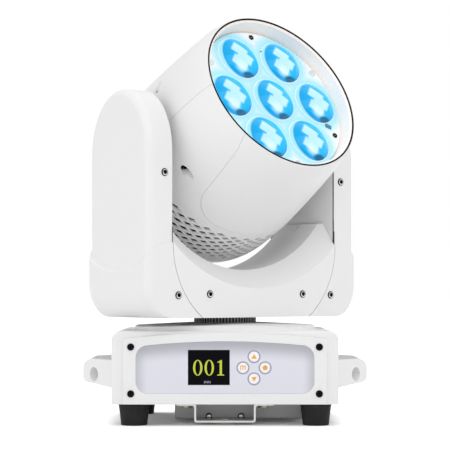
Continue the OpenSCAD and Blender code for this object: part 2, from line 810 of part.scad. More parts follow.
// Right edge of the saddle cover in front view, from below, grown by g
function saddle_edge(g) = concat(
    [[sqrt(pow(seam_r, 2) - pow(seam_drop, 2)) + seam_cx + g, yoke_z - past*5]],
    arc(seam_cx, seam_z, seam_r + g, -asin(seam_drop/seam_r), 0, 14),
    [[seam_cx + seam_r + g, saddle_top + past*3]]);

// Front view of what the saddle cover takes up between the arm covers, grown by g
function saddle_front(g) = let (edge = saddle_edge(g)) concat(edge,
    [for (i = [len(edge) - 1:-1:0]) [-edge[i][0], edge[i][1]]]);

module arm_cover() difference() {
    arm_solid(0);
    arm_solid(cover_wall);
    // the saddle cover's place
    front_view(0, 4*arm_r) polygon(saddle_front(0.3));
    // screw holes, front and back
    for (s = [-1, 1]) {
        translate([low_screw_x, 0, low_screw_z]) along_y(screw_r, s > 0 ? 0 : -2*block_y, s > 0 ? 2*block_y : 0);
        translate([high_screw_x, 0, high_screw_z]) along_y(screw_r, s > 0 ? 0 : -2*block_y, s > 0 ? 2*block_y : 0);
    }
}

module arm_cover_right() color("white") on_yoke() arm_cover();
module arm_cover_left() color("white") on_yoke() mirror([1, 0, 0]) arm_cover();

module arm_liners() color("white") on_yoke() for (side = [0, 1]) mirror([side, 0, 0]) difference() {
    union() {
        block([arm_in, -liner_r, liner_z], [arm_in + liner_t, liner_r, tilt_z]);
        translate([0, 0, tilt_z]) along_x(liner_r, arm_in, arm_in + liner_t);
    }
    translate([0, 0, tilt_z])
        along_x(shaft_r + bearing_wall + move_gap, arm_in - past, arm_in + liner_t + past);
}

// Round trough under the head with its sloping edges, moved out by i
module trough(i) translate([0, 0, tilt_z]) rotate([-90, 0, 0]) rotate_extrude() polygon([
    [0, -2*block_y], [trough_r + i + chamfer_slope*(2*block_y - trough_y), -2*block_y],
    [trough_r + i, -trough_y], [trough_r + i, trough_y],
    [trough_r + i + chamfer_slope*(2*block_y - trough_y), 2*block_y], [0, 2*block_y]]);

module saddle_cover() color("white") on_yoke() difference() {
    intersection() {
        front_view(0, 2*block_y) polygon(saddle_front(0));
        block([-arm_out, -block_y, yoke_z], [arm_out, block_y, saddle_top]);
    }
    trough(0);
    // open below and towards the arms, under the trough
    difference() {
        block([-arm_out, -block_y + cover_wall, yoke_z - past], [arm_out, block_y - cover_wall, tilt_z]);
        trough(cover_wall);
    }
    for (x = [-mid_screw_x, mid_screw_x]) translate([x, 0, mid_screw_z])
        along_y(screw_r, -2*block_y, 2*block_y);
}

// A cover screw whose head stands on the face at y
module cover_screw(x, y, z) translate([x, 0, z]) {
    along_y(cover_head_r, -y - cover_head_h, -y);
    along_y(screw_r - run_gap, -y, -y + cover_wall + cover_screw_in);
}

module yoke_screws() color("dimgray") on_yoke() for (side = [0, 1], turn = [0, 1])
    mirror([side, 0, 0]) mirror([0, turn, 0]) {
        cover_screw(mid_screw_x, block_y, mid_screw_z);
        cover_screw(low_screw_x, block_y, low_screw_z);
        cover_screw(high_screw_x, arm_r, high_screw_z);
    }

// A belt round two pulleys of radii r0 and r1, whose centres are c apart along X
module belt(r0, r1, c) linear_extrude(belt_w) difference() {
    hull() {
        circle(r = r0 + belt_gap + belt_t);
        translate([c, 0]) circle(r = r1 + belt_gap + belt_t);
    }
    hull() {
        circle(r = r0 + belt_gap);
        translate([c, 0]) circle(r = r1 + belt_gap);
    }
}

module pan_motor() color("#303030") on_yoke() difference() {
    block([-pan_motor_x - motor_w/2, -motor_w/2, yoke_top],
          [-pan_motor_x + motor_w/2, motor_w/2, yoke_top + pan_motor_h]);
    translate([-pan_motor_x, 0, yoke_top + pan_motor_h - pan_shaft_in])
        cylinder(r = motor_shaft_r + run_gap, h = pan_shaft_in + past);
}

module pan_pinion() color("silver") on_yoke() translate([-pan_motor_x, 0, 0]) {
    translate([0, 0, pan_drive_z]) cylinder(r = pan_pinion_r, h = drive_w);
    translate([0, 0, yoke_top + pan_motor_h - pan_shaft_in + move_gap])
        cylinder(r = motor_shaft_r, h = pan_drive_z - yoke_top - pan_motor_h + pan_shaft_in);
}

module pan_belt() color("#202020") on_yoke() translate([0, 0, pan_drive_z + 0.5])
    belt(pan_pulley_r, pan_pinion_r, -pan_motor_x);

module tilt_motor() color("#303030") on_yoke() translate([0, 0, tilt_motor_z]) difference() {
    union() {
        block([arm_plate_x - tilt_motor_len, -motor_w/2, -motor_w/2], [arm_plate_x, motor_w/2, motor_w/2]);
        along_x(motor_boss_r, arm_plate_x - past, arm_plate_x + arm_plate_t);
    }
    along_x(motor_shaft_r + run_gap, arm_plate_x - pan_shaft_in, arm_plate_x + arm_plate_t + past);
}

module tilt_pinion() color("silver") on_yoke() translate([0, 0, tilt_motor_z]) {
    along_x(tilt_pinion_r, tilt_drive_x, tilt_drive_x + drive_w);
    along_x(motor_shaft_r, arm_plate_x - pan_shaft_in + move_gap, tilt_drive_x + past);
}

module tilt_belt() color("#202020") on_yoke() translate([tilt_drive_x + 0.5, 0, tilt_motor_z])
    rotate([0, 90, 0]) belt(tilt_pinion_r, tilt_pulley_r, tilt_motor_z - tilt_z);

module tilt_pulley() color("silver") on_head() difference() {
    along_x(tilt_pulley_r, tilt_drive_x, tilt_drive_x + drive_w);
    along_x(shaft_r, tilt_drive_x - past, tilt_drive_x + drive_w + past);
}

module tilt_shafts() color("silver") on_head() {
    shaft(arm_plate_x + 6, 1);
    shaft(tilt_drive_x + drive_w, -1);
}

// A hollow shaft on one side of the head, out to distance end, with a collar beside the arm
module shaft(end, side) mirror([side > 0 ? 1 : 0, 0, 0]) difference() {
    union() {
        along_x(shaft_r, ear_in, end);
        along_x(shaft_r + 8, barrel_r + move_gap, arm_in - move_gap);
    }
    along_x(shaft_r - 4, ear_in - past, end + past);
}

module head_frame() color("silver") on_head() difference() {
    union() {
        translate([0, 0, frame_back]) cylinder(r = frame_r, h = frame_t);
        for (side = [0, 1]) mirror([side, 0, 0])
            block([ear_in, -ear_y, frame_front - past/2], [ear_in + ear_t, ear_y, ear_y]);
    }
    along_x(shaft_r, -2*barrel_r, 2*barrel_r);
    // air passages beside the heatsink
    for (a = [45 : 90 : 315]) rotate(a) translate([air_x, 0, frame_back - past])
        cylinder(r = air_r, h = frame_t + 2*past);
}

// Shell of the barrel: dome, cone and tapered lip
module barrel_shell() difference() {
    rotate_extrude() polygon(concat(
        [[0, -dome_start - dome_len]], barrel_side(0),
        [[lip_r, head_front - 0.3], [lip_r - 0.6, head_front], [rim_r + rim_w + seat_gap, head_front],
         [rim_r + rim_w + seat_gap, lip_back + 4], [barrel_front_r - head_wall, lip_back]],
        backwards([for (p = barrel_side(head_wall)) if (p[1] < lip_back) p]),
        [[0, -dome_start - dome_len + head_wall]]));
    along_x(shaft_r + 1, -2*barrel_r, 2*barrel_r);
}

// Plan of the tongue cover seen from below, grown by g
module tongue_plan(g) {
    r = 28 + g;
    polygon(concat(
        [[tongue_r + g, head_front + past], [-tongue_r - g, head_front + past]],
        arc(-tongue_r + 28, 23, r, 180, 270, 8), arc(tongue_r - 28, 23, r, 270, 360, 8)));
}

// Everything under the barrel inside the tongue's plan
module tongue_zone(g) rotate([90, 0, 0]) linear_extrude(2*barrel_r) tongue_plan(g);

// Diamond vents through the upper side, in staggered rows; mirrored for the lower side
module vents() for (i = [0 : vent_rows - 1], k = [-vent_side : vent_side - i % 2])
    translate([(k + (i % 2)/2)*vent_pitch, 0, -vent_start - i*vent_step]) rotate([-90, 0, 0])
        translate([0, 0, vent_in]) linear_extrude(barrel_r - vent_in + past)
            polygon([[-vent_w/2, 0], [0, -vent_h/2], [vent_w/2, 0], [0, vent_h/2]]);

module head_cover_top() color("white") on_head() difference() {
    intersection() {
        barrel_shell();
        block([-2*barrel_r, split_gap/2, -2*barrel_r], [2*barrel_r, 2*barrel_r, 2*barrel_r]);
    }
    vents();
}

module head_cover_bottom() color("white") on_head() difference() {
    intersection() {
        barrel_shell();
        block([-2*barrel_r, -2*barrel_r, -2*barrel_r], [2*barrel_r, -split_gap/2, 2*barrel_r]);
    }
    tongue_zone(0.3);
    mirror([0, 1, 0]) vents();
}

module tongue_cover() color("white") on_head() intersection() {
    barrel_shell();
    tongue_zone(0);
}

module front_rim() color("white") on_head() translate([0, 0, rim_front - rim_len]) difference() {
    cylinder(r = rim_r + rim_w, h = rim_len);
    translate([0, 0, -past]) cylinder(r = rim_r, h = rim_len + 2*past);
}

module trim_ring() color("black") on_head() translate([0, 0, rim_front]) difference() {
    cylinder(r = rim_r + rim_w, h = ring_t);
    translate([0, 0, -past]) cylinder(r = rim_r + 0.6, h = ring_t + 2*past);
}

// Places of the seven lenses: one in the middle and six round it
lens_places = concat([[0, 0]], [for (a = [0 : 60 : 300]) lens_pitch*[cos(a), sin(a)]]);

module led_board() color("darkgreen") on_head() {
    translate([0, 0, frame_front]) cylinder(r = led_r, h = led_t);
    for (p = lens_places) translate([p[0], p[1], frame_front + led_t]) cylinder(r = chip_r, h = chip_h);
}

module light_pipes() color("lightcyan") on_head() {
    for (p = lens_places) translate([p[0], p[1], pipe_start])
        cylinder(r1 = chip_r, r2 = chip_r + 4, h = pipe_end - pipe_start);
    translate([0, 0, pipe_end - 4]) cylinder(r = led_r + 4, h = 3);
    for (a = [30, 150, 270]) rotate(a) translate([30, 0, frame_front + led_t])
        cylinder(r = 3, h = pipe_end - 3 - frame_front - led_t);
}

module heatsink() color("silver") on_head() {
    translate([0, 0, frame_back - sink_base_t]) cylinder(r = sink_r, h = sink_base_t);
    intersection() {
        translate([0, 0, fan_front]) cylinder(r = sink_r, h = sink_depth - sink_base_t);
        for (k = [-6 : 6]) block([k*fin_pitch - fin_t/2, -sink_r, fan_front],
                                 [k*fin_pitch + fin_t/2, sink_r, frame_back - sink_base_t]);
    }
}

module fan_frame() color("black") on_head() difference() {
    block([-fan_w/2, -fan_w/2, fan_back], [fan_w/2, fan_w/2, fan_front]);
    difference() {
        translate([0, 0, fan_back - past]) cylinder(r = fan_r, h = fan_t + 2*past);
        translate([0, 0, fan_back]) {
            cylinder(r = hub_r, h = 2);
            cylinder(r = 2, h = 14);
            for (a = [30 : 120 : 270]) rotate(a) block([0, -2, 0], [fan_r + past, 2, 2]);
        }
    }
}

module fan_rotor() color("dimgray") on_head() translate([0, 0, fan_back + 2 + 2*move_gap]) difference() {
    union() {
        cylinder(r = hub_r, h = 18);
        intersection() {
            cylinder(r = fan_r - 1.5, h = 18);
            for (k = [1 : blade_count]) rotate(k*360/blade_count)
                translate([0, 0, 9]) rotate([38, 0, 0]) block([hub_r - 2, -11, -0.8], [fan_r, 11, 0.8]);
        }
    }
    translate([0, 0, -past]) cylinder(r = 2 + run_gap, h = 14);
}

module guide_rods() color("silver") on_head() for (a = [30, 150]) rotate(a)
    translate([guide_r, 0, frame_front]) cylinder(r = rod_r, h = lens_face + 2 - frame_front);

module zoom_motor() color("#303030") on_head() translate([0, -guide_r, frame_front]) difference() {
    block([-zoom_motor_w/2, -zoom_motor_w/2, 0], [zoom_motor_w/2, zoom_motor_w/2, zoom_motor_len]);
    translate([0, 0, 8]) cylinder(r = rod_r + run_gap, h = zoom_motor_len);
}

module zoom_screw() color("silver") on_head() translate([0, -guide_r, frame_front + 8 + move_gap])
    cylinder(r = rod_r, h = lens_face + 2 - frame_front - 8 - move_gap);

module lens_carrier() color("aliceblue") on_head() difference() {
    union() {
        translate([0, 0, carrier_back]) cylinder(r = carrier_r, h = carrier_t);
        for (a = [30, 150, 270]) rotate(a) translate([guide_r, 0, carrier_back - boss_len])
            cylinder(r = boss_r, h = boss_len + past);
    }
    for (p = lens_places) translate([p[0], p[1], carrier_back - past])
        cylinder(r = lens_r + 0.1, h = carrier_t + 2*past);
    for (a = [30, 150, 270]) rotate(a) translate([guide_r, 0, carrier_back - boss_len - past])
        cylinder(r = rod_r + run_gap, h = boss_len + carrier_t + 2*past);
    for (a = [90, 210, 330]) rotate(a) translate([guide_r, 0, carrier_back - past])
        cylinder(r = 1.5, h = carrier_t + 2*past);
}

module lenses() color("deepskyblue") on_head() for (p = lens_places) translate([p[0], p[1], 0]) {
    translate([0, 0, carrier_back - 2]) cylinder(r = lens_r + 1.5, h = 2);
    translate([0, 0, carrier_back]) cylinder(r = lens_r, h = carrier_t + 1);
    intersection() {
        translate([0, 0, lens_face + 1]) cylinder(r = lens_r, h = lens_r);
        translate([0, 0, lens_face + 1 - sqrt(pow(lens_curve_r, 2) - pow(lens_r, 2))])
            sphere(r = lens_curve_r);
    }
}

module lens_screws() color("gray") on_head() for (a = [90, 210, 330]) rotate(a)
    translate([guide_r, 0, 0]) {
        translate([0, 0, lens_face]) cylinder(r = 2.8, h = 1.4);
        translate([0, 0, carrier_back]) cylinder(r = 1.45, h = carrier_t);
    }

base_shell();
base_plate();
front_panel();
control_overlay();
display_module();
control_board();
panel_screws();
rear_panel();
rear_sockets();
carry_handles();
rubber_feet();
omega_brackets();
underside_cover();
power_supply();
pan_post();
pan_collar();
pan_pulley();
button_up();
button_down();
button_menu();
button_enter();
lock_front_left();
lock_front_right();
lock_rear_left();
lock_rear_right();
yoke_plate();
arm_plates();
pan_bearing();
tilt_bearings();
arm_cover_left();
arm_cover_right();
arm_liners();
saddle_cover();
yoke_screws();
pan_motor();
pan_belt();
tilt_motor();
tilt_belt();
pan_pinion();
tilt_pinion();
head_frame();
head_cover_top();
head_cover_bottom();
tongue_cover();
front_rim();
trim_ring();
tilt_shafts();
tilt_pulley();
led_board();
light_pipes();
heatsink();
fan_frame();
fan_rotor();
guide_rods();
zoom_motor();
zoom_screw();
lens_carrier();
lenses();
lens_screws();
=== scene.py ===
"""Moving head wash light: the shells, lenses, panel and fittings that dress its CAD frame."""

import json
import math

import bmesh
import bpy
from bpy.props import FloatProperty, FloatVectorProperty, IntProperty, PointerProperty
from mathutils import Matrix, Vector


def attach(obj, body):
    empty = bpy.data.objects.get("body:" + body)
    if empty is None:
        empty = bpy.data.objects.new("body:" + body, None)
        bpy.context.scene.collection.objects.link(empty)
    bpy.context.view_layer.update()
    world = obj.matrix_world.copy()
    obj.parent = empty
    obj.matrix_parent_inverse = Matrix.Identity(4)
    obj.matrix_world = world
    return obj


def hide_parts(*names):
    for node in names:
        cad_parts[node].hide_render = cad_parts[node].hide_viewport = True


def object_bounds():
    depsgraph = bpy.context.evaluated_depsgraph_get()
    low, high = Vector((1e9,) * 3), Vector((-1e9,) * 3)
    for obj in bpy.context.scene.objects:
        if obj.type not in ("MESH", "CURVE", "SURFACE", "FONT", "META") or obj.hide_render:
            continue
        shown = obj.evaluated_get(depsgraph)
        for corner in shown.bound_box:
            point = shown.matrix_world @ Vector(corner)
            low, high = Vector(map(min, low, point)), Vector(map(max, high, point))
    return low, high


bl_info = {
    "name": "Moving Head Light",
    "version": (1, 0, 0),
    "blender": (4, 5, 0),
    "location": "3D View > Sidebar > Moving Head",
    "description": "Builds the looks of a moving head wash light around its CAD frame",
    "category": "Add Mesh",
}

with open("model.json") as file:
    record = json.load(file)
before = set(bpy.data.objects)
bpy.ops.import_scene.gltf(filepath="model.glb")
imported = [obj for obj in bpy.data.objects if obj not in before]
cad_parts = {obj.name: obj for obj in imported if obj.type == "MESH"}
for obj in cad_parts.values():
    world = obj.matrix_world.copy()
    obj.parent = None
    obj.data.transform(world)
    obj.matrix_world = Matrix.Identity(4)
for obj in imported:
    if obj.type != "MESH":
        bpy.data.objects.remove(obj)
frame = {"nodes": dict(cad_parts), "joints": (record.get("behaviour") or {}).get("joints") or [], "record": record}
CAD_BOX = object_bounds()
JOINTS = {joint["name"]: joint for joint in frame["joints"]}

# Pieces are modelled in millimetres beside the axes of their own body, then placed.
TILT_AXIS = Vector(JOINTS["tilt"]["axis"])
OPTICAL_AXIS = Vector(JOINTS["zoom"]["axis"])
PAN = math.atan2(TILT_AXIS.y, TILT_AXIS.x)
TILT = math.acos(OPTICAL_AXIS.z)
TILT_Z = 1000 * JOINTS["tilt"]["pos_m"][2]
YOKE_Z = 1000 * JOINTS["pan"]["pos_m"][2]
BASE_AT = Matrix.Scale(0.001, 4)
YOKE_AT = Matrix.Rotation(PAN, 4, "Z") @ BASE_AT
HEAD_AT = (
    Matrix.Rotation(PAN, 4, "Z")
    @ BASE_AT
    @ Matrix.Translation((0, 0, TILT_Z))
    @ Matrix.Rotation(TILT, 4, "X")
)
AXES = {"yoke": YOKE_AT, "head": HEAD_AT, "lens_carriage": HEAD_AT}
ROUND = 2 * math.pi
FACING_FRONT = Matrix.Rotation(math.pi / 2, 4, "X")
FACING_BACK = Matrix.Rotation(-math.pi / 2, 4, "X")
MIRROR = Matrix.Scale(-1, 4, (1, 0, 0))


# ---------------------------------------------------------------- sizes and colours


def size(name, description, default):
    """A length in millimetres."""
    return FloatProperty(name=name, description=description + ", in millimetres", default=default, min=0.0)


def colour(name, description, default):
    return FloatVectorProperty(
        name=name, description=description, default=default, size=3, min=0.0, max=1.0, subtype="COLOR"
    )


class BaseSizes(bpy.types.PropertyGroup):
    """The base housing and what is fixed to it."""

    width: size("Width", "Width of the housing", 220.0)
    bottom: size("Bottom", "Height of the housing's lower edge", 18.5)
    shoulder: size("Shoulder", "Height of the housing's shoulders", 89.5)
    edge_radius: size("Edge radius", "Radius of the long upper edges", 9.0)
    wall: size("Wall", "Wall of the housing", 3.0)
    panel_width: size("Panel width", "Width of the front bezel", 197.0)
    panel_height: size("Panel height", "Height of the bezel at its sides", 63.6)
    panel_rise: size("Panel rise", "Rise of the bezel's arched edge", 6.0)
    overlay_width: size("Overlay width", "Width of the printed film", 172.0)
    overlay_height: size("Overlay height", "Height of the printed film at its ends", 46.5)
    handle_reach: size("Handle reach", "Distance of the handle's outer face from the housing", 31.5)
    handle_length: size("Handle length", "Length of a handle along the housing", 154.0)


class YokeSizes(bpy.types.PropertyGroup):
    """The two arms and the saddle between them."""

    arm_inside: size("Arm inside", "Distance of an arm's inner face from the pan axis", 103.7)
    arm_thickness: size("Arm thickness", "Thickness of an arm", 27.9)
    arm_radius: size("Arm radius", "Half depth of an arm and radius of its top", 50.3)
    edge_radius: size("Edge radius", "Radius of an arm's outer edges", 7.5)
    block_proud: size("Block proud", "How far the lower block stands proud", 2.4)
    wall: size("Wall", "Wall of the covers", 2.8)


class HeadSizes(bpy.types.PropertyGroup):
    """The barrel, its rim and its vents."""

    radius: size("Radius", "Largest radius of the barrel", 99.4)
    front_radius: size("Front radius", "Radius of the barrel behind the lip", 91.3)
    lip_radius: size("Lip radius", "Radius of the front lip", 86.6)
    front: size("Front", "Distance of the lip from the tilt axis", 103.6)
    wall: size("Wall", "Wall of the barrel", 3.0)
    vent_pitch: size("Vent pitch", "Distance between vents in a row", 15.1)
    vent_step: size("Vent step", "Distance between rows of vents", 3.95)
    vent_rows: IntProperty(name="Vent rows", description="Rows of vents on each side", default=11, min=1)


class LensSizes(bpy.types.PropertyGroup):
    """The seven lenses and their plate."""

    radius: size("Radius", "Radius of a lens", 23.1)
    curve_radius: size("Curve radius", "Radius of curvature of a lens face", 36.0)
    pitch: size("Pitch", "Distance between neighbouring lenses", 53.2)
    face: size("Face", "Distance of the plate's face from the tilt axis", 88.5)


class LightColours(bpy.types.PropertyGroup):
    """Colours of the shells, the print and the light."""

    shell: colour("Shell", "White of the mouldings", (0.83, 0.83, 0.835))
    film: colour("Film", "Lilac grey of the printed film", (0.72, 0.72, 0.80))
    print_accent: colour("Print accent", "Orange of the printed signs", (0.90, 0.42, 0.05))
    glow: colour("Glow", "Blue of the lit lenses", (0.005, 0.46, 0.92))
    digits: colour("Digits", "Yellow green of the display's digits", (0.50, 0.58, 0.03))


# ---------------------------------------------------------------- modelling helpers


def fresh():
    """Deselects everything, so that the next operator acts on its own piece alone."""
    if bpy.context.object and bpy.context.object.mode != "OBJECT":
        bpy.ops.object.mode_set(mode="OBJECT")
    bpy.ops.object.select_all(action="DESELECT")


def hold(obj):
    fresh()
    obj.select_set(True)
    bpy.context.view_layer.objects.active = obj


def choose(obj, kind, test):
    """Enters edit mode with the vertices, edges or faces that pass the test selected."""
    hold(obj)
    bpy.ops.object.mode_set(mode="EDIT")
    bpy.ops.mesh.select_mode(type=kind)
    bpy.ops.mesh.select_all(action="DESELECT")
    mesh = bmesh.from_edit_mesh(obj.data)
    for part in {"VERT": mesh.verts, "EDGE": mesh.edges, "FACE": mesh.faces}[kind]:
        if test(part):
            part.select_set(True)
    bmesh.update_edit_mesh(obj.data)


def middle(edge):
    return (edge.verts[0].co + edge.verts[1].co) / 2


def lies_at(edge, axis, place, slack=0.01):
    """Whether both ends of an edge have the same place along an axis."""
    return all(abs(getattr(vert.co, axis) - place) < slack for vert in edge.verts)


def span(edge, axis):
    """How far an edge reaches along an axis."""
    return abs(getattr(edge.verts[0].co, axis) - getattr(edge.verts[1].co, axis))


def sharp(edge, angle):
    """Whether the faces at an edge turn by more than the angle, in radians."""
    return edge.calc_face_angle(0) > angle


def apply_modifier(obj, kind, **settings):
    hold(obj)
    modifier = obj.modifiers.new(kind.title(), kind)
    for key, value in settings.items():
        setattr(modifier, key, value)
    bpy.ops.object.modifier_apply(modifier=modifier.name)


def line(points):
    """An open line through the points, drawn from a plane merged to its middle."""
    fresh()
    bpy.ops.mesh.primitive_plane_add(size=1)
    obj = bpy.context.object
    bpy.ops.object.mode_set(mode="EDIT")
    bpy.ops.mesh.select_mode(type="VERT")
    bpy.ops.mesh.merge(type="CENTER")
    points = [Vector(point) for point in points]
    bpy.ops.transform.translate(value=points[0])
    for here, there in zip(points, points[1:]):
        bpy.ops.mesh.extrude_region_move(TRANSFORM_OT_translate={"value": there - here})
    return obj


def close_up():
    """Merges doubles and turns the faces outwards, in edit mode, then leaves it."""
    bpy.ops.mesh.select_all(action="SELECT")
    bpy.ops.mesh.remove_doubles(threshold=0.001)
    bpy.ops.mesh.normals_make_consistent(inside=False)
    bpy.ops.object.mode_set(mode="OBJECT")


def plate(outline, along):
    """A solid with the closed outline as its base, extruded along a vector."""
    obj = line(list(outline) + [outline[0]])
    bpy.ops.mesh.select_all(action="SELECT")
    bpy.ops.mesh.remove_doubles(threshold=0.001)
    bpy.ops.mesh.edge_face_add()
    bpy.ops.mesh.extrude_region_move(TRANSFORM_OT_translate={"value": Vector(along)})
    close_up()
    return obj


def turned(profile, steps=96):
    """A solid or ring spun about Z from a profile of radius and height."""
    profile = list(profile)
    if profile[0][0] > 0 and profile[-1][0] > 0:
        profile.append(profile[0])
    obj = line([(r, 0, z) for r, z in profile])
    bpy.ops.mesh.select_all(action="SELECT")
    bpy.ops.mesh.spin(steps=steps, angle=ROUND, center=(0, 0, 0), axis=(0, 0, 1))
    close_up()
    return obj


def box(low, high):
    """A box between two corners, ready to be shaped."""
    low, high = Vector(low), Vector(high)
    fresh()
    bpy.ops.mesh.primitive_cube_add(size=1, location=(low + high) / 2)
    obj = bpy.context.object
    obj.scale = high - low
    bpy.ops.object.transform_apply(location=True, rotation=True, scale=True)
    return obj


def rod(radius, start, end, sides=48):
    """A rod between two points."""
    start, end = Vector(start), Vector(end)
    fresh()
    bpy.ops.mesh.primitive_cylinder_add(vertices=sides, radius=radius, depth=(end - start).length)
    obj = bpy.context.object
    turn = Vector((0, 0, 1)).rotation_difference(end - start).to_matrix().to_4x4()
    set_place(obj, Matrix.Translation((start + end) / 2) @ turn)
    return obj


def shift(x, y, z):
    """A move in millimetres."""
    return Matrix.Translation((x, y, z))


def set_place(obj, matrix):
    """Moves a piece and applies the move to its mesh."""
    hold(obj)
    obj.matrix_world = matrix @ obj.matrix_world
    bpy.ops.object.transform_apply(location=True, rotation=True, scale=True)
    if matrix.determinant() < 0:
        bpy.ops.object.mode_set(mode="EDIT")
        bpy.ops.mesh.select_all(action="SELECT")
        bpy.ops.mesh.normals_make_consistent(inside=False)
        bpy.ops.object.mode_set(mode="OBJECT")
    return obj


def copy_of(obj, matrix=Matrix()):
    """A copy with its own mesh, moved by the matrix."""
    hold(obj)
    bpy.ops.object.duplicate(linked=False)
    return set_place(bpy.context.object, matrix)


def joined(pieces):
    """Several pieces as one object."""
    hold(pieces[0])
    for piece in pieces[1:]:
        piece.select_set(True)
    bpy.ops.object.join()
    return bpy.context.object


def spread(obj, places):
    """Copies of a piece at several places as one object; the piece itself is used up."""
    copies = [copy_of(obj, place) for place in places]
    bpy.data.objects.remove(obj)
    return joined(copies)


def paired(obj):
    """A piece and its mirror image as one object."""
    return joined([obj, copy_of(obj, MIRROR)])


def carve(obj, tool, how="DIFFERENCE"):
    """Cuts, joins or intersects a piece with a tool, which is used up."""
    apply_modifier(obj, "BOOLEAN", object=tool, operation=how, solver="EXACT")
    bpy.data.objects.remove(tool)
    return obj


def crowned(obj, test, out, centre, reach, radius, steps=6):
    """Rounds off an end: its face is drawn out along a vector and in about a centre, step by step.

    The reach gives how far the face's edge lies from the centre along each axis, or 0 where it stays.
    """
    choose(obj, "FACE", test)
    out, centre = Vector(out), Vector(centre)
    before, size_before = 0.0, Vector((1, 1, 1))
    for step in range(1, steps + 1):
        turn = math.radians(90 * step / steps)
        forward = radius * math.sin(turn)
        inward = radius * (1 - math.cos(turn))
        size_now = Vector([(r - inward) / r if r else 1.0 for r in reach])
        bpy.ops.mesh.extrude_region_move(TRANSFORM_OT_translate={"value": out * (forward - before)})
        bpy.ops.transform.resize(
            value=[now / then for now, then in zip(size_now, size_before)],
            center_override=centre,
        )
        before, size_before = forward, size_now
    bpy.ops.object.mode_set(mode="OBJECT")
    return obj


def ease(obj, width, segments=2, angle=30.0):
    """Rounds every edge sharper than the angle."""
    apply_modifier(
        obj,
        "BEVEL",
        width=width,
        segments=segments,
        limit_method="ANGLE",
        angle_limit=math.radians(angle),
        use_clamp_overlap=True,
    )
    return obj


def round_edges(obj, width, segments, test):
    """Rounds the edges that pass the test."""
    choose(obj, "EDGE", test)
    bpy.ops.mesh.bevel(offset=width, segments=segments, affect="EDGES", clamp_overlap=True)
    bpy.ops.object.mode_set(mode="OBJECT")
    return obj


def finish_piece(obj, name, body, look, replaces=(), where=(0, 0, 0), smooth=30.0):
    """Places a piece beside its body's axes, smooths it, names it and fixes it to the body.

    The look is a material, or the name of one of the frame's or in LOOKS.
    """
    set_place(obj, AXES.get(body, BASE_AT) @ shift(*where))
    hold(obj)
    bpy.ops.object.shade_smooth_by_angle(angle=math.radians(smooth))
    apply_modifier(obj, "WEIGHTED_NORMAL", keep_sharp=True)
    obj.name = name
    obj.data.name = name
    obj.data.materials.clear()
    obj.data.materials.append(look if isinstance(look, bpy.types.Material) else shared(look))
    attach(obj, body)
    if replaces:
        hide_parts(*replaces)
    return obj


def finish_shell(obj, name, body, replaced, smooth=30.0):
    """Finishes one of the white mouldings."""
    return finish_piece(obj, name, body, "white_moulding", [replaced], smooth=smooth)


def arc(x, y, radius, start, end, steps=10):
    """Points of an arc between two angles in degrees."""
    return [
        (
            x + radius * math.cos(math.radians(start + (end - start) * i / steps)),
            y + radius * math.sin(math.radians(start + (end - start) * i / steps)),
        )
        for i in range(steps + 1)
    ]


def polar(radius, angle):
    """The point at a radius and an angle in degrees."""
    return radius * math.cos(math.radians(angle)), radius * math.sin(math.radians(angle))


def front_view(outline, y=0.0):
    """Outline points drawn in X and Z, standing at y."""
    return [(x, y, z) for x, z in outline]


def plan_view(outline, z=0.0):
    return [(x, y, z) for x, y in outline]


def slab(outline):
    """A solid from a front view that cuts right through the yoke."""
    return plate(front_view(outline, -80.0), (0, 160.0, 0))


# ---------------------------------------------------------------- materials


class Signal:
    """A node's output that takes part in sums."""

    def __init__(self, shader, socket):
        self.shader = shader
        self.socket = socket

    def math(self, operation, *others):
        values = dict(enumerate((self,) + others))
        return self.shader.node("ShaderNodeMath", {"operation": operation}, values)

    def __add__(self, other):
        return self.math("ADD", other)

    def __sub__(self, other):
        return self.math("SUBTRACT", other)

    def __mul__(self, other):
        return self.math("MULTIPLY", other)

    def __neg__(self):
        return self * -1.0

    __radd__ = __add__
    __rmul__ = __mul__

    def __rsub__(self, other):
        return -self + other

    def least(self, other):
        return self.math("MINIMUM", other)

    def most(self, other):
        return self.math("MAXIMUM", other)

    def size(self):
        return self.math("ABSOLUTE")

    def root(self):
        return self.math("SQRT")

    def between(self, low, high, to_low=0.0, to_high=1.0):
        """A smooth step from low to high."""
        return self.shader.node(
            "ShaderNodeMapRange",
            {"interpolation_type": "SMOOTHSTEP"},
            {"Value": self, "From Min": low, "From Max": high, "To Min": to_low, "To Max": to_high},
        )


class Nodes:
    """A node tree to which nodes are added."""

    def __init__(self, tree):
        self.tree = tree

    def node(self, kind, settings=None, values=None, out=0):
        """A node of any kind, with its settings made before its sockets are filled.

        A tuple of outputs gives a list of signals.
        """
        node = self.tree.nodes.new(kind)
        for key, value in (settings or {}).items():
            setattr(node, key, value)
        for key, value in (values or {}).items():
            self.fill(node.inputs[key], value)
        if isinstance(out, tuple):
            return [Signal(self, node.outputs[name]) for name in out]
        return Signal(self, node.outputs[out])

    def fill(self, socket, value):
        if isinstance(value, Signal):
            self.tree.links.new(value.socket, socket)
        elif socket.type == "RGBA" and len(value) == 3:
            socket.default_value = (*value, 1.0)
        else:
            socket.default_value = value

    def axes(self, spot):
        return self.node("ShaderNodeSeparateXYZ", None, {0: spot}, (0, 1, 2))


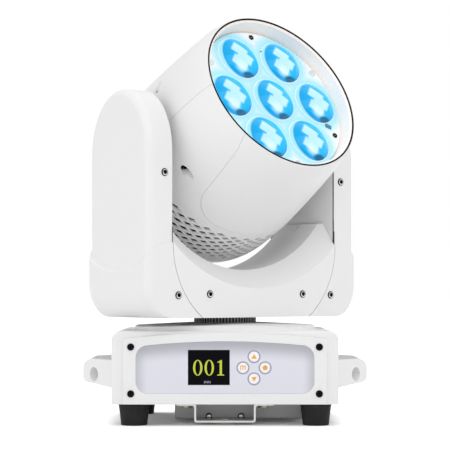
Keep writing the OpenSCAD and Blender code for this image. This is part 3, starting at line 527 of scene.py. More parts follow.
class Finish(Nodes):
    """A material and the nodes that make it."""

    def __init__(self, name, **surface):
        self.material = bpy.data.materials.new(name)
        self.material.use_nodes = True
        super().__init__(self.material.node_tree)
        self.tree.nodes.clear()
        output = self.tree.nodes.new("ShaderNodeOutputMaterial")
        self.surface = self.tree.nodes.new("ShaderNodeBsdfPrincipled")
        self.tree.links.new(self.surface.outputs[0], output.inputs["Surface"])
        self.set(**surface)

    def set(self, **values):
        """Fills sockets of the surface, named in small letters with underscores."""
        for key, value in values.items():
            self.fill(self.surface.inputs[key.replace("_", " ").title().replace("Ior", "IOR")], value)
        return self

    def place(self, at=BASE_AT, centre=(0.0, 0.0, 0.0)):
        """X, Y and Z in millimetres beside a body's axes, from a centre there."""
        values = {
            "Vector": self.node("ShaderNodeTexCoord", out="Object"),
            "Location": at @ Vector(centre),
            "Rotation": at.to_3x3().normalized().to_euler("XYZ"),
            "Scale": (0.001, 0.001, 0.001),
        }
        return self.node("ShaderNodeMapping", {"vector_type": "TEXTURE"}, values)

    def noise(self, spot, scale, detail=3.0, roughness=0.5):
        values = {"Vector": spot, "Scale": scale, "Detail": detail, "Roughness": roughness}
        return self.node("ShaderNodeTexNoise", None, values)

    def blend(self, amount, first, second):
        """A mix of two colours."""
        values = {0: amount, 6: first, 7: second}
        return self.node("ShaderNodeMix", {"data_type": "RGBA"}, values, out=2)

    def bump(self, height, distance):
        """Raises the surface's shading by the height times the distance, in metres."""
        return self.set(normal=self.node("ShaderNodeBump", None, {"Height": height, "Distance": distance}))


def dimmed(shade, factor):
    return [c * factor for c in shade]


def moulded(name, shade, roughness=0.42, grain=0.012, fade=0.02, at=BASE_AT):
    """Moulded plastic: a fine spark-eroded grain, faint flow marks and uneven gloss."""
    finish = Finish(name, specular_ior_level=0.45)
    spot = finish.place(at)
    flow = finish.noise(spot, 0.018, 2.0)
    fine = finish.noise(spot, 1.6, 2.0, 0.6)
    finish.set(
        base_color=finish.blend(flow, shade, dimmed(shade, 1 - fade)),
        roughness=roughness + (flow - 0.5) * 0.10 + (fine - 0.5) * 0.06,
    )
    finish.bump(fine, grain * 0.001)
    return finish


def metal(name, shade, roughness, wear=0.25, at=BASE_AT):
    """Sheet or turned metal with fine lines and cloudy gloss."""
    finish = Finish(name, metallic=1.0)
    spot = finish.place(at)
    lines = finish.noise(spot, 0.35, 4.0, 0.6)
    cloud = finish.noise(spot, 0.06, 3.0)
    finish.set(
        base_color=finish.blend(cloud, shade, dimmed(shade, 0.82)),
        roughness=roughness + (lines - 0.5) * wear + (cloud - 0.5) * 0.12,
    )
    finish.bump(lines, 0.00002)
    return finish


def zinc(name):
    """Zinc-plated sheet with its pale spangle."""
    finish = Finish(name, metallic=0.85)
    spot = finish.place()
    values = {"Vector": spot, "Scale": 0.22, "Randomness": 1.0}
    cells = finish.node("ShaderNodeTexVoronoi", {"feature": "F1"}, values)
    cloud = finish.noise(spot, 0.09, 3.0)
    finish.set(
        base_color=finish.blend(cloud, (0.56, 0.56, 0.55), (0.72, 0.72, 0.70)),
        roughness=0.34 + cells * 0.03 + (cloud - 0.5) * 0.15,
    )
    finish.bump(finish.noise(spot, 0.8, 3.0), 0.00003)
    return finish


def rubber(name, shade, roughness):
    """Black rubber or plastic with a little dust."""
    finish = Finish(name, specular_ior_level=0.16)
    spot = finish.place()
    fine = finish.noise(spot, 1.2, 3.0, 0.7)
    dust = finish.noise(spot, 0.12, 3.0)
    finish.set(
        base_color=finish.blend(dust, shade, [c * 1.8 + 0.004 for c in shade]),
        roughness=roughness + (fine - 0.5) * 0.2,
    )
    finish.bump(fine, 0.00004)
    return finish


def sign_material(name):
    """Orange print."""
    shade = bpy.context.scene.moving_colours.print_accent
    finish = Finish(name, specular_ior_level=0.4)
    fine = finish.noise(finish.place(), 1.1, 2.0)
    finish.set(base_color=finish.blend(fine, shade, dimmed(shade, 0.86)), roughness=0.42 + fine * 0.1)
    return finish


def gauze_material(name):
    """Black gauze with its fine square weave."""
    finish = Finish(name, specular_ior_level=0.3)
    spot = finish.place(HEAD_AT)
    u, _, w = finish.axes(spot)
    threads = (u * 2.6).math("SINE").size().most((w * 2.6).math("SINE").size())
    dust = finish.noise(spot, 0.1, 3.0)
    finish.set(
        base_color=finish.blend(threads, (0.002, 0.002, 0.002), (0.016, 0.016, 0.017)),
        roughness=0.6 + dust * 0.2,
    )
    finish.bump(threads, 0.0001)
    return finish


def shell_material(name):
    return moulded(name, bpy.context.scene.moving_colours.shell)


# The frame's own black_plastic, button_cap, clear_guide, grey_sheet and lens_plate are used as
# they come, without nodes of this script's making.
LOOKS = {
    "foot_rubber": (rubber, (0.010, 0.010, 0.011), 0.62),
    "ring_rubber": (rubber, (0.004, 0.004, 0.004), 0.7),
    "black_screws": (metal, (0.010, 0.010, 0.011), 0.34),
    "plated_screws": (metal, (0.035, 0.035, 0.037), 0.28),
    "motor_black": (metal, (0.06, 0.06, 0.065), 0.5),
    "bright_steel": (metal, (0.66, 0.66, 0.68), 0.25),
    "bronze_locks": (metal, (0.38, 0.33, 0.28), 0.38),
    "turned_aluminium": (metal, (0.74, 0.74, 0.76), 0.34),
    "polished_rods": (metal, (0.86, 0.93, 0.95), 0.4, 0.08, HEAD_AT),
    "zinc_sheet": (zinc,),
    "white_moulding": (shell_material,),
    "rear_paint": (moulded, (0.10, 0.10, 0.105), 0.5, 0.03, 0.06),
    "mains_blue": (moulded, (0.02, 0.10, 0.42), 0.4, 0.02),
    "mains_grey": (moulded, (0.42, 0.42, 0.43), 0.4, 0.02),
    "solder_mask": (moulded, (0.01, 0.12, 0.05), 0.35, 0.01, 0.2),
    "clip_plastic": (moulded, (0.03, 0.24, 0.34), 0.35, 0.012, 0.02, HEAD_AT),
    "orange_print": (sign_material,),
    "vent_gauze": (gauze_material,),
}


def shared(name):
    """A material that several pieces share: the frame's own, or made when it is first asked for."""
    found = bpy.data.materials.get(name)
    if found:
        return found
    maker, *values = LOOKS[name]
    return maker(name, *values).material


# ---------------------------------------------------------------- base


FRONT = -90.0  # face of the bezel
BACK = 90.0  # face of the rear panel
FLANGE = 92.0  # face of the rear sockets
FUSE_X = -20
SHELL_FRONT = -87.0  # front edge of the housing
DECK = (179.0, 156.0, 40.0)  # width, depth and corner radius of the raised deck
DECK_TOP = 96.5
COLLAR_HOLE = 20.2  # radius of the cable's way through the pan axis
FILM_CORNER = 12.0
FILM_LOW = 10.6  # height of the film's lower edge in the bezel
FILM_RISE = 3.7  # rise of its arched upper edge
FILM_TOP = 79.3
DISPLAY = (-35.6, 37.5, 4.4, 71.1)  # left, low, right and high edges of the glass
GLASS_BACK = -85.0
DIGITS_Z = 54.1  # height of the digits' middle
DIGIT_DEPTH = 0.12
BUTTONS = {"up": (28.0, 64.7), "down": (28.0, 43.3), "menu": (17.3, 54.0), "enter": (38.7, 54.0)}
PANEL_SCREWS = [(x, z) for x in (-91.0, 91.0) for z in (28.9, 74.1)]
LOCK_X = 38
BRACKET_Y = 62


def base_outline(sizes, inset=0.0, drop=0.0):
    """Front view of the housing, moved in by the inset."""
    x = sizes.width / 2 - inset
    top = sizes.shoulder - inset
    r = sizes.edge_radius - inset / 2
    return (
        [(x, sizes.bottom - drop)]
        + arc(x - r, top - r, r, 0, 90)
        + arc(-x + r, top - r, r, 90, 180)
        + [(-x, sizes.bottom - drop)]
    )


def arched(width, z, rise, steps=16):
    """An upper edge that rises in its middle, from right to left."""
    return [
        (width / 2 - width * i / steps, z + rise * (1 - (1 - 2 * i / steps) ** 2)) for i in range(steps + 1)
    ]


def bezel_outline(sizes, grow=0.0):
    x = sizes.panel_width / 2 + grow
    return [(-x, sizes.bottom - grow), (x, sizes.bottom - grow)] + arched(
        2 * x, sizes.bottom + sizes.panel_height + grow, sizes.panel_rise
    )


def film_outline(sizes, grow=0.0):
    r = FILM_CORNER + grow
    x = sizes.overlay_width / 2 - FILM_CORNER
    low = sizes.bottom + FILM_LOW + FILM_CORNER
    high = sizes.bottom + FILM_LOW + sizes.overlay_height - FILM_CORNER
    return (
        arc(x, low, r, -90, 0, 8)
        + arc(x, high, r, 0, 75, 8)
        + arched(2 * x, sizes.bottom + FILM_LOW + sizes.overlay_height + grow, FILM_RISE)[1:-1]
        + arc(-x, high, r, 105, 180, 8)
        + arc(-x, low, r, 180, 270, 8)
    )


def front_hole(radius, x, z, sides):
    """A rod that cuts a hole in the front panel."""
    return rod(radius, (x, FRONT - 5, z), (x, FRONT + 10, z), sides)


def display_hole():
    """A box that cuts the display's window, with its clearance."""
    x0, z0, x1, z1 = DISPLAY
    return box((x0 - 0.2, FRONT - 5, z0 - 0.2), (x1 + 0.2, FRONT + 10, z1 + 0.2))


def rounded_rectangle(width, depth, radius, steps=10):
    x, y = width / 2 - radius, depth / 2 - radius
    return (
        arc(x, y, radius, 0, 90, steps)
        + arc(-x, y, radius, 90, 180, steps)
        + arc(-x, -y, radius, 180, 270, steps)
        + arc(x, -y, radius, 270, 360, steps)
    )


class MOVING_HEAD_OT_base_housing(bpy.types.Operator):
    """Models the base housing with its raised deck."""

    bl_idname = "moving_head.base_housing"
    bl_label = "Base housing"

    def execute(self, context):
        sizes = context.scene.moving_base
        housing = plate(front_view(base_outline(sizes), SHELL_FRONT), (0, BACK - SHELL_FRONT, 0))
        round_edges(
            housing, 2.6, 4, lambda e: lies_at(e, "y", SHELL_FRONT) and middle(e).z > sizes.bottom + 1
        )
        crown = turned(
            [(0.0, 80.0), (185.0, 80.0), (185.0, 88.5), (90.0, 93.9), (37.6, DECK_TOP), (0.0, DECK_TOP)]
        )
        deck = plate(plan_view(rounded_rectangle(*DECK), 84.0), (0, 0, 30.0))
        carve(deck, crown, "INTERSECT")
        round_edges(deck, 1.6, 3, lambda e: middle(e).z > 90 and sharp(e, 0.6))
        carve(housing, deck, "UNION")
        round_edges(
            housing,
            1.8,
            4,
            lambda e: not e.is_convex and sharp(e, 0.6) and lies_at(e, "z", sizes.shoulder, 0.02),
        )
        carve(housing, plate(front_view(base_outline(sizes, sizes.wall, 4.0), FRONT + 8.0), (0, 200.0, 0)))
        carve(housing, plate(front_view(bezel_outline(sizes, 0.08), FRONT - 1), (0, 6.0, 0)))
        carve(housing, rod(COLLAR_HOLE, (0, 0, 60), (0, 0, 120), 64))
        carve(housing, box((-82.5, -86.0, 25.5), (82.5, -80.0, 77.0)))
        finish_shell(housing, "base_housing", "base", "base_shell")
        return {"FINISHED"}


class MOVING_HEAD_OT_front_bezel(bpy.types.Operator):
    """Models the arched front bezel with its recess and holes."""

    bl_idname = "moving_head.front_bezel"
    bl_label = "Front bezel"

    def execute(self, context):
        sizes = context.scene.moving_base
        bezel = plate(front_view(bezel_outline(sizes), FRONT), (0, 5.0, 0))
        round_edges(bezel, 0.9, 4, lambda e: lies_at(e, "y", FRONT))
        carve(bezel, plate(front_view(film_outline(sizes, 0.1), FRONT - 1), (0, 1.8, 0)))
        round_edges(
            bezel,
            0.45,
            2,
            lambda e: lies_at(e, "y", FRONT) and abs(middle(e).x) < 88 and abs(middle(e).z - 52.5) < 27,
        )
        carve(bezel, display_hole())
        for x, z in BUTTONS.values():
            carve(bezel, front_hole(5.5, x, z, 40))
        for x, z in PANEL_SCREWS:
            carve(bezel, front_hole(2.2, x, z, 24))
        finish_shell(bezel, "front_bezel", "base", "front_panel")
        return {"FINISHED"}


def film_material(colours):
    """Pale lilac film with painted shade under its arch and towards its ends, and a grey ring at each button."""
    finish = Finish("printed_film", specular_ior_level=0.4, coat_weight=0.15)
    spot = finish.place()
    x, _, z = finish.axes(spot)
    # Painted shade: the film darkens towards its arched top edge and towards its ends, as if shaded by the
    # recess's edge.
    arch = FILM_TOP - x * x * (FILM_RISE / 74.0**2)
    shade = (arch - z).between(0.5, 18.0)
    side = x.size().between(74.0, 87.0, 1.0, 0.0)
    light = shade * (0.35 + side * 0.65)
    ring = None
    for bx, bz in BUTTONS.values():
        away = ((x - bx) * (x - bx) + (z - bz) * (z - bz)).root()
        mark = away.between(6.2, 6.4, 1.0, 0.0)
        ring = mark if ring is None else ring.most(mark)
    fine = finish.noise(spot, 1.4, 2.0)
    film = finish.blend(light, dimmed(colours.film, 0.58), colours.film)
    finish.set(
        base_color=finish.blend(ring, film, (0.34, 0.34, 0.42)),
        roughness=0.36 + (fine - 0.5) * 0.12,
    )
    finish.bump(fine, 0.000004)
    return finish


class MOVING_HEAD_OT_printed_film(bpy.types.Operator):
    """Models the printed film that lies in the bezel's recess."""

    bl_idname = "moving_head.printed_film"
    bl_label = "Printed film"

    def execute(self, context):
        sizes = context.scene.moving_base
        film = plate(front_view(film_outline(sizes, -0.1), FRONT + 0.25), (0, 0.55, 0))
        carve(film, display_hole())
        for x, z in BUTTONS.values():
            carve(film, front_hole(5.3, x, z, 40))
        material = film_material(context.scene.moving_colours).material
        finish_piece(film, "printed_film", "base", material, ["control_overlay"])
        return {"FINISHED"}


def digit_nought(x, z, width, height):
    """A nought with thick sides and thin ends."""
    steps = 40
    turns = [ROUND * i / steps for i in range(steps + 1)]
    ring = line([(x + width / 2 * math.cos(turn), 0, z + height / 2 * math.sin(turn)) for turn in turns])
    bpy.ops.mesh.select_all(action="SELECT")
    bpy.ops.mesh.remove_doubles(threshold=0.001)
    bpy.ops.mesh.edge_face_add()
    bpy.ops.object.mode_set(mode="OBJECT")
    choose(ring, "FACE", lambda face: True)
    bpy.ops.mesh.inset(thickness=0.4)
    bpy.ops.transform.resize(value=(0.58, 1.0, 0.95), center_override=(x, 0, z))
    bpy.ops.mesh.delete(type="FACE")
    bpy.ops.mesh.select_all(action="SELECT")
    bpy.ops.mesh.extrude_region_move(TRANSFORM_OT_translate={"value": (0, DIGIT_DEPTH, 0)})
    close_up()
    return ring


def digit_one(x, z, height):
    """A one with a flag and a foot."""
    h = height / 2
    foot = [(-0.95, -h + 1.3), (-3.4, -h + 0.7), (-3.4, -h), (3.4, -h), (3.4, -h + 0.7), (1.25, -h + 1.3)]
    flag = [(1.25, h), (0.5, h), (-3.2, h - 2.0), (-3.0, h - 2.6), (-0.95, h - 2.3)]
    outline = foot[2:] + flag + foot[:2]
    return plate([(x + a, 0, z + b) for a, b in outline], (0, DIGIT_DEPTH, 0))


class MOVING_HEAD_OT_display(bpy.types.Operator):
    """Models the display's glass and its lit digits."""

    bl_idname = "moving_head.display"
    bl_label = "Display"

    def execute(self, context):
        colours = context.scene.moving_colours
        x0, z0, x1, z1 = DISPLAY
        glass = box((x0, FRONT + 0.25, z0), (x1, GLASS_BACK, z1))
        choose(glass, "FACE", lambda face: face.normal.y < -0.5)
        bpy.ops.mesh.inset(thickness=0.5)
        bpy.ops.transform.translate(value=(0, -0.1, 0))
        bpy.ops.object.mode_set(mode="OBJECT")
        carve(glass, box((x0 - 4, GLASS_BACK - 0.01, z0 - 4), (9.6, -74.0, z1 + 4)), "UNION")
        ease(glass, 0.15, 2, 50)
        finish = Finish("display_glass", specular_ior_level=0.04, coat_weight=0.02, coat_roughness=0.04)
        spot = finish.place()
        smear = finish.noise(spot, 0.07, 3.0)
        finish.set(
            base_color=finish.blend(smear, (0.0005, 0.0005, 0.002), (0.0015, 0.0015, 0.004)),
            roughness=0.12 + smear * 0.08,
        )
        finish_piece(glass, "display_glass", "base", finish.material, ["display_module"])
        before = (0, FRONT + 0.03, 0)
        noughts = [digit_nought(x, DIGITS_Z, 9.1, 15.2) for x in (-26.3, -15.2)]
        digits = joined(noughts + [digit_one(-4.2, DIGITS_Z, 15.0)])
        lit = Finish("lit_digits", roughness=0.5)
        _, _, z = lit.axes(lit.place())
        rows = (z * 2.0).math("FRACT").between(0.1, 0.35)
        lit.set(
            base_color=lit.blend(rows, dimmed(colours.digits, 0.1), dimmed(colours.digits, 0.2)),
            emission_color=lit.blend(rows, dimmed(colours.digits, 0.62), dimmed(colours.digits, 0.92)),
            emission_strength=1.0,
        )
        finish_piece(digits, "display_digits", "base", lit.material, where=before)
        marks = []
        for k in range(5):
            low = (x0 + 15.4 + 1.35 * k, 0, 39.0 + (k % 2) * 0.3)
            marks.append(box(low, (x0 + 16.2 + 1.35 * k, 0.1, 41.3)))
        row = joined(marks)
        ease(row, 0.04, 1, 60)
        pale = Finish("lit_marks", roughness=0.5, emission_strength=0.5)
        grain = pale.noise(pale.place(), 0.9, 1.0)
        tint = pale.blend(grain, (0.22, 0.24, 0.30), (0.12, 0.13, 0.18))
        pale.set(base_color=tint, emission_color=tint)
        finish_piece(row, "display_marks", "base", pale.material, where=before)
        return {"FINISHED"}


class MOVING_HEAD_OT_buttons(bpy.types.Operator):
    """Models the four buttons and their printed signs."""

    bl_idname = "moving_head.buttons"
    bl_label = "Buttons"

    def execute(self, context):
        cap = turned(
            [(0.0, 9.0), (2.5, 9.0), (2.5, 1.4), (6.9, 1.4), (6.9, 0.4), (5.15, 0.4), (5.15, -4.7)]
            + [(4.95, -5.1), (4.5, -5.4), (2.6, -5.5), (0.0, -5.5)],
            48,
        )
        set_place(cap, shift(0, FRONT + 5.0, 0) @ FACING_BACK)
        top = FRONT - 0.5 - 0.04
        bars = [(-2.6, -2.0, -1.7, 1.4), (-0.45, -2.0, 0.45, 1.4), (1.7, -2.0, 2.6, 1.4)]
        bars += [(-2.6, 1.3, 2.6, 2.2)]
        signs = {
            "up": [plate(front_view([(-2.7, -1.9), (2.7, -1.9), (0, 2.5)], top), (0, 0.1, 0))],
            "down": [plate(front_view([(-2.7, 1.9), (0, -2.5), (2.7, 1.9)], top), (0, 0.1, 0))],
            "menu": [box((x0, top, z0), (x1, top + 0.1, z1)) for x0, z0, x1, z1 in bars],
            "enter": [rod(2.4, (0, top, 0), (0, top + 0.1, 0), 32)],
        }
        for name, (x, z) in BUTTONS.items():
            body = f"button_{name}_body"
            button = copy_of(cap)
            replaced = ["button_" + name]
            finish_piece(button, "cap_" + name, body, "button_cap", replaced, (x, 0, z))
            sign = joined(signs[name])
            ease(sign, 0.03, 1, 60)
            finish_piece(sign, "sign_" + name, body, "orange_print", where=(x, 0, z))
        bpy.data.objects.remove(cap)
        return {"FINISHED"}


def socket_screw(head_radius, head_height, shank):
    """A round-headed screw with a hexagon socket, standing on the plane z = 0."""
    r, h = head_radius, head_height
    screw = turned(
        [(0.0, -shank), (0.6 * r, -shank), (0.6 * r, 0.0), (r, 0.0), (r, 0.25 * h)]
        + [(0.93 * r, 0.62 * h), (0.76 * r, 0.88 * h), (0.55 * r, h), (0.0, h)],
        32,
    )
    carve(screw, rod(0.44 * r, (0, 0, -0.5 * min(shank, 3.6)), (0, 0, 2 * h), 6))
    return ease(screw, 0.07, 1, 50)


def socket_glint_ring(head_radius, head_height):
    """A bright ring round the socket of such a screw: a painted highlight on its chamfer."""
    r, h = head_radius, head_height
    inner = [(0.56 * r, h - 0.2), (0.57 * r, h + 0.04)]
    return turned(inner + [(0.77 * r, 0.88 * h + 0.05), (0.80 * r, 0.6 * h)], 32)


def cover_screw_places(sizes):
    """Distance to the side, distance to the front and height of the cover screws beside one arm."""
    deep = sizes.arm_radius + BLOCK_MORE
    return (
        (sizes.arm_inside - 44.3, deep, YOKE_Z + 23.1),
        (sizes.arm_inside - 6.3, deep, YOKE_Z + 22.1),
        (sizes.arm_inside + 9.0, sizes.arm_radius + UPRIGHT_MORE, TILT_Z - 32.4),
    )


def cover_screw_hole(x, z):
    return rod(2.4, (x, -80, z), (x, 80, z), 24)


class MOVING_HEAD_OT_screws(bpy.types.Operator):
    """Models one socket screw and sets it wherever the covers are fixed."""

    bl_idname = "moving_head.screws"
    bl_label = "Cover screws"

    def execute(self, context):
        sizes = context.scene.moving_yoke
        screws = spread(
            socket_screw(3.5, 1.6, 12.0), [shift(x, FRONT, z) @ FACING_FRONT for x, z in PANEL_SCREWS]
        )
        finish_piece(screws, "bezel_screws", "base", "black_screws", ["panel_screws"])
        stands = [
            Matrix.Rotation(turn, 4, "Z") @ shift(side * x, -y, z) @ FACING_FRONT
            for x, y, z in cover_screw_places(sizes)
            for side in (-1, 1)
            for turn in (0.0, math.pi)
        ]
        screws = spread(socket_screw(3.8, 1.2, 7.5), stands)
        # The bright rings are painted highlight: they stand in for the light caught by the screws' chamfers.
        edges = spread(socket_glint_ring(3.8, 1.2), stands)
        finish_piece(screws, "cover_screws", "yoke", "plated_screws", ["yoke_screws"])
        finish_piece(edges, "cover_screw_glints", "yoke", "bright_steel")
        return {"FINISHED"}


class MOVING_HEAD_OT_handles(bpy.types.Operator):
    """Models the two carrying handles with their cable holes."""

    bl_idname = "moving_head.handles"
    bl_label = "Carrying handles"

    def execute(self, context):
        sizes = context.scene.moving_base
        x = sizes.width / 2
        reach, half, slope, bar = sizes.handle_reach, sizes.handle_length / 2, 39.0, 8.0
        end = math.hypot(reach, slope)
        low = sizes.bottom + 15.3
        outer = [(x, -half), (x + reach, -half + slope), (x + reach, half - slope), (x, half)]
        inner_y = half - bar * end / reach
        grip = half - slope - bar * (end - slope) / reach
        run = slope / reach
        inside = x + reach - bar
        inner = [(x - 1, -inner_y - run), (inside, -grip), (inside, grip), (x - 1, inner_y + run)]
        handle = plate(plan_view(outer, 0.0), (0, 0, 100.0))
        carve(handle, plate(plan_view(inner, -5.0), (0, 0, 120.0)))
        lean = (
            [(x - 0.5, low + 27.0), (x - 0.5, low)]
            + arc(x + reach - 5, low + 9, 5, -80, 0, 5)
            + arc(x + reach - 9, low + 18, 9, 0, 90, 8)
        )
        carve(handle, plate(front_view(lean, -90.0), (0, 180.0, 0)), "INTERSECT")
        ease(handle, 1.8, 4, 40)
        angle = math.atan2(slope, reach)
        spot = Vector((x + 0.62 * reach, -half + 0.62 * slope, low + 12.2))
        out = Vector((math.sin(angle), -math.cos(angle), 0))
        carve(handle, rod(7.0, spot - 24 * out, spot + 24 * out, 48))
        ease(handle, 0.5, 2, 60)
        carve(handle, box((x - 20, -100, 0), (x + 0.02, 100, 120)))
        finish_shell(paired(handle), "carrying_handles", "base", "carry_handles")
        return {"FINISHED"}


class MOVING_HEAD_OT_underside(bpy.types.Operator):
    """Models the feet, the hanging brackets, their locks and the cover under the base."""

    bl_idname = "moving_head.underside"
    bl_label = "Feet and brackets"

    def execute(self, context):
        foot = turned(
            [(0.0, 12.5), (5.0, 12.5), (5.0, -2.1), (5.4, -2.5), (11.9, -2.5), (12.6, -2.2), (12.9, -1.4)]
            + [(13.1, 1.0), (14.9, 15.6), (15.4, 17.2), (15.4, 18.2), (15.0, 18.5), (0.0, 18.5)],
            64,
        )
        feet = spread(foot, [shift(x, y, 0) for x in (-88.6, 88.6) for y in (-72, 72)])
        finish_piece(feet, "tapered_feet", "base", "foot_rubber", ["rubber_feet"])
        fold = [(-48, 18.5), (-48, 16.5), (-30, 16.5), (-30, 0), (30, 0), (30, 16.5), (48, 16.5), (48, 18.5)]
        fold += [(28, 18.5), (28, 2), (-28, 2), (-28, 18.5)]
        bracket = plate(front_view(fold, -15.0), (0, 30.0, 0))
        for x, radius, steps in ((30, 2.4, 4), (28, 0.9, 2)):
            round_edges(
                bracket, radius, steps, lambda e: span(e, "y") > 29 and abs(abs(middle(e).x) - x) < 0.1
            )
        round_edges(
            bracket,
            3.0,
            4,
            lambda e: abs(abs(middle(e).x) - 48) < 0.1 and abs(abs(middle(e).y) - 15) < 0.1,
        )
        carve(bracket, rod(6.5, (0, 0, -3), (0, 0, 6), 40))
        for x in (-LOCK_X, LOCK_X):
            carve(bracket, rod(3.05, (x, 0, 10), (x, 0, 25), 32))
        ease(bracket, 0.22, 2, 50)
        pair = spread(bracket, [shift(0, y, 0) for y in (-BRACKET_Y, BRACKET_Y)])
        finish_piece(pair, "hanging_brackets", "base", "zinc_sheet", ["omega_brackets"])
        lid = box((-50, -41, 0.5), (78, 41, 18.5))
        round_edges(lid, 2.0, 3, lambda e: middle(e).z < 1 or span(e, "z") > 10)
        carve(lid, box((-48.5, -39.5, 2.0), (76.5, 39.5, 22)))
        finish_piece(lid, "underside_lid", "base", "grey_sheet", ["underside_cover"])
        stands = [shift(x, -41.0, 3.6) @ FACING_FRONT for x in (-16, 16)]
        head = turned([(0.0, 0.0), (2.4, 0.0), (2.4, 0.6), (2.1, 1.2), (1.3, 1.7), (0.0, 1.8)], 24)
        carve(head, box((-2.7, -0.3, 1.0), (2.7, 0.3, 3)))
        finish_piece(spread(head, stands), "lid_screws", "base", "bright_steel")
        washer = turned([(2.4, 0.0), (3.4, 0.0), (3.4, 0.4), (3.2, 0.6), (2.4, 0.6)], 32)
        finish_piece(spread(washer, stands), "lid_washers", "base", "black_plastic")
        lock = turned(
            [(0.0, 13.5), (5.0, 13.5), (5.5, 13.9), (5.5, 16.1), (3.0, 16.1), (3.0, 22.3), (0.0, 22.3)], 40
        )
        carve(lock, box((-7, -0.7, 12), (7, 0.7, 14.7)))
        wing = box((-6.5, -1.5, 20.9), (6.5, 1.5, 23.9))
        round_edges(wing, 0.7, 2, lambda e: True)
        carve(lock, wing, "UNION")
        ease(lock, 0.15, 1, 50)
        for row, y in (("front", -BRACKET_Y), ("rear", BRACKET_Y)):
            for side, x in (("left", -LOCK_X), ("right", LOCK_X)):
                name = f"lock_{row}_{side}"
                piece = f"quarter_turn_{row}_{side}"
                finish_piece(copy_of(lock), piece, name + "_body", "bronze_locks", [name], (x, y, 0))
        bpy.data.objects.remove(lock)
        return {"FINISHED"}


class MOVING_HEAD_OT_collar(bpy.types.Operator):
    """Models the ribbed collar between the base and the yoke."""

    bl_idname = "moving_head.collar"
    bl_label = "Ribbed collar"

    def execute(self, context):
        top = DECK_TOP + 5.1
        ring = turned([(COLLAR_HOLE, DECK_TOP), (30.4, DECK_TOP), (30.4, top), (COLLAR_HOLE, top)], 60)
        rib = [(30.0, -0.95), (31.4, -0.8), (31.6, 0), (31.4, 0.8), (30.0, 0.95)]
        ribs = spread(
            plate(plan_view(rib, DECK_TOP), (0, 0, top - DECK_TOP)),
            [Matrix.Rotation(ROUND * k / 60, 4, "Z") for k in range(60)],
        )
        collar = joined([ring, ribs])
        finish = Finish("collar_ribs", specular_ior_level=0.4)
        spot = finish.place()
        x, y, _ = finish.axes(spot)
        # Painted highlight: the collar is black, and its ribs' crests are painted grey as if they caught the
        # light.
        crest_sheen = (x * x + y * y).root().between(30.9, 31.4)
        fine = finish.noise(spot, 1.2, 2.0)
        finish.set(
            base_color=finish.blend(crest_sheen, (0.002, 0.002, 0.002), (0.42, 0.42, 0.43)),
            roughness=0.45 + (fine - 0.5) * 0.2,
        )
        finish.bump(fine, 0.00003)
        finish_piece(collar, "ribbed_collar", "base", finish.material, ["pan_collar"])
        return {"FINISHED"}


# ---------------------------------------------------------------- yoke


ARM_CENTRE = TILT_Z - 12.1  # where the upright's sides meet its elliptical top
UPRIGHT_MORE = 0.5  # what the upright's half depth has over the arm's radius
BLOCK_MORE = 2.0  # and the lower block's
SEAM_RADIUS = 89.0  # of the curved seam between saddle and arm
SADDLE_EDGE = 103.3  # where that seam stands upright
TROUGH_RADIUS = 124.53  # of the saddle's trough, from the tilt axis


def arm_side(sizes, inset=0.0, foot=0.0):
    """Side view of the upright: straight sides and an elliptical top."""
    half = sizes.arm_radius + UPRIGHT_MORE - inset
    rise = TILT_Z + sizes.arm_radius - inset - ARM_CENTRE
    top = [(half * y, ARM_CENTRE + rise * z) for y, z in arc(0, 0, 1, 0, 180, 48)]
    return [(half, foot)] + top + [(-half, foot)]


def ledge_side(sizes, inset=0.0):
    """Front view of all that lies above the lower block's arched upper edge."""
    x = sizes.arm_inside
    low, rise, run = YOKE_Z + 49.1 - inset, 23.8, 34.0
    edge = [(x + run * a, low + rise * b) for a, b in arc(0, 0, 1, 90, 4, 20)]
    far = x + run + 10.0
    return [(x - 60.0, low + rise)] + edge + [(far, low), (far, 260.0), (x - 60.0, 260.0)]


def arm_shape(sizes, inset=0.0):
    """Solid of the right arm, moved in by the inset: upright, elliptical top and dished lower block."""
    x0 = sizes.arm_inside - (2.0 if inset else 0.0)
    out = sizes.arm_inside + sizes.arm_thickness - inset
    edge = sizes.edge_radius - inset
    upright = plate([(x0, y, z) for y, z in arm_side(sizes, inset, YOKE_Z + 22.0)], (out - edge - x0, 0, 0))
    crowned(
        upright,
        lambda face: face.normal.x > 0.9,
        (1, 0, 0),
        (out, 0, ARM_CENTRE),
        (0, sizes.arm_radius + UPRIGHT_MORE - inset, TILT_Z + sizes.arm_radius - inset - ARM_CENTRE),
        edge,
    )
    far = sizes.arm_inside + sizes.arm_thickness + sizes.block_proud - inset
    half = sizes.arm_radius + BLOCK_MORE - inset
    low = YOKE_Z + inset
    x_in = sizes.arm_inside - 50.0
    shape = [(x_in, low), (x_in, TILT_Z - 60.0), (far, TILT_Z - 60.0)]
    shape += [(far - 25.0 + 25.0 * a, low + 33.0 + 33.0 * b) for a, b in arc(0, 0, 1, 0, -90, 12)]
    block = plate(front_view(shape, edge - half), (0, 2 * (half - edge), 0))
    for side in (-1, 1):
        crowned(
            block,
            lambda face: face.normal.y * side > 0.9,
            (0, side, 0),
            (x_in, side * half, low + 40.0),
            (far - x_in, 0, 0),
            edge,
        )
    carve(block, slab(ledge_side(sizes, inset)))
    lean = Vector((-1, 0, 1)).normalized()
    spot = Vector((sizes.arm_inside + 30.6, 0, YOKE_Z + 222.7))
    carve(block, rod(126.7 + inset, spot - 230 * lean, spot + 60 * lean, 200))
    if not inset:
        round_edges(
            block,
            1.2,
            3,
            lambda e: e.is_convex
            and sharp(e, 0.7)
            and middle(e).z > YOKE_Z + 40
            and middle(e).x > x_in + 1,
        )
    return carve(upright, block, "UNION")


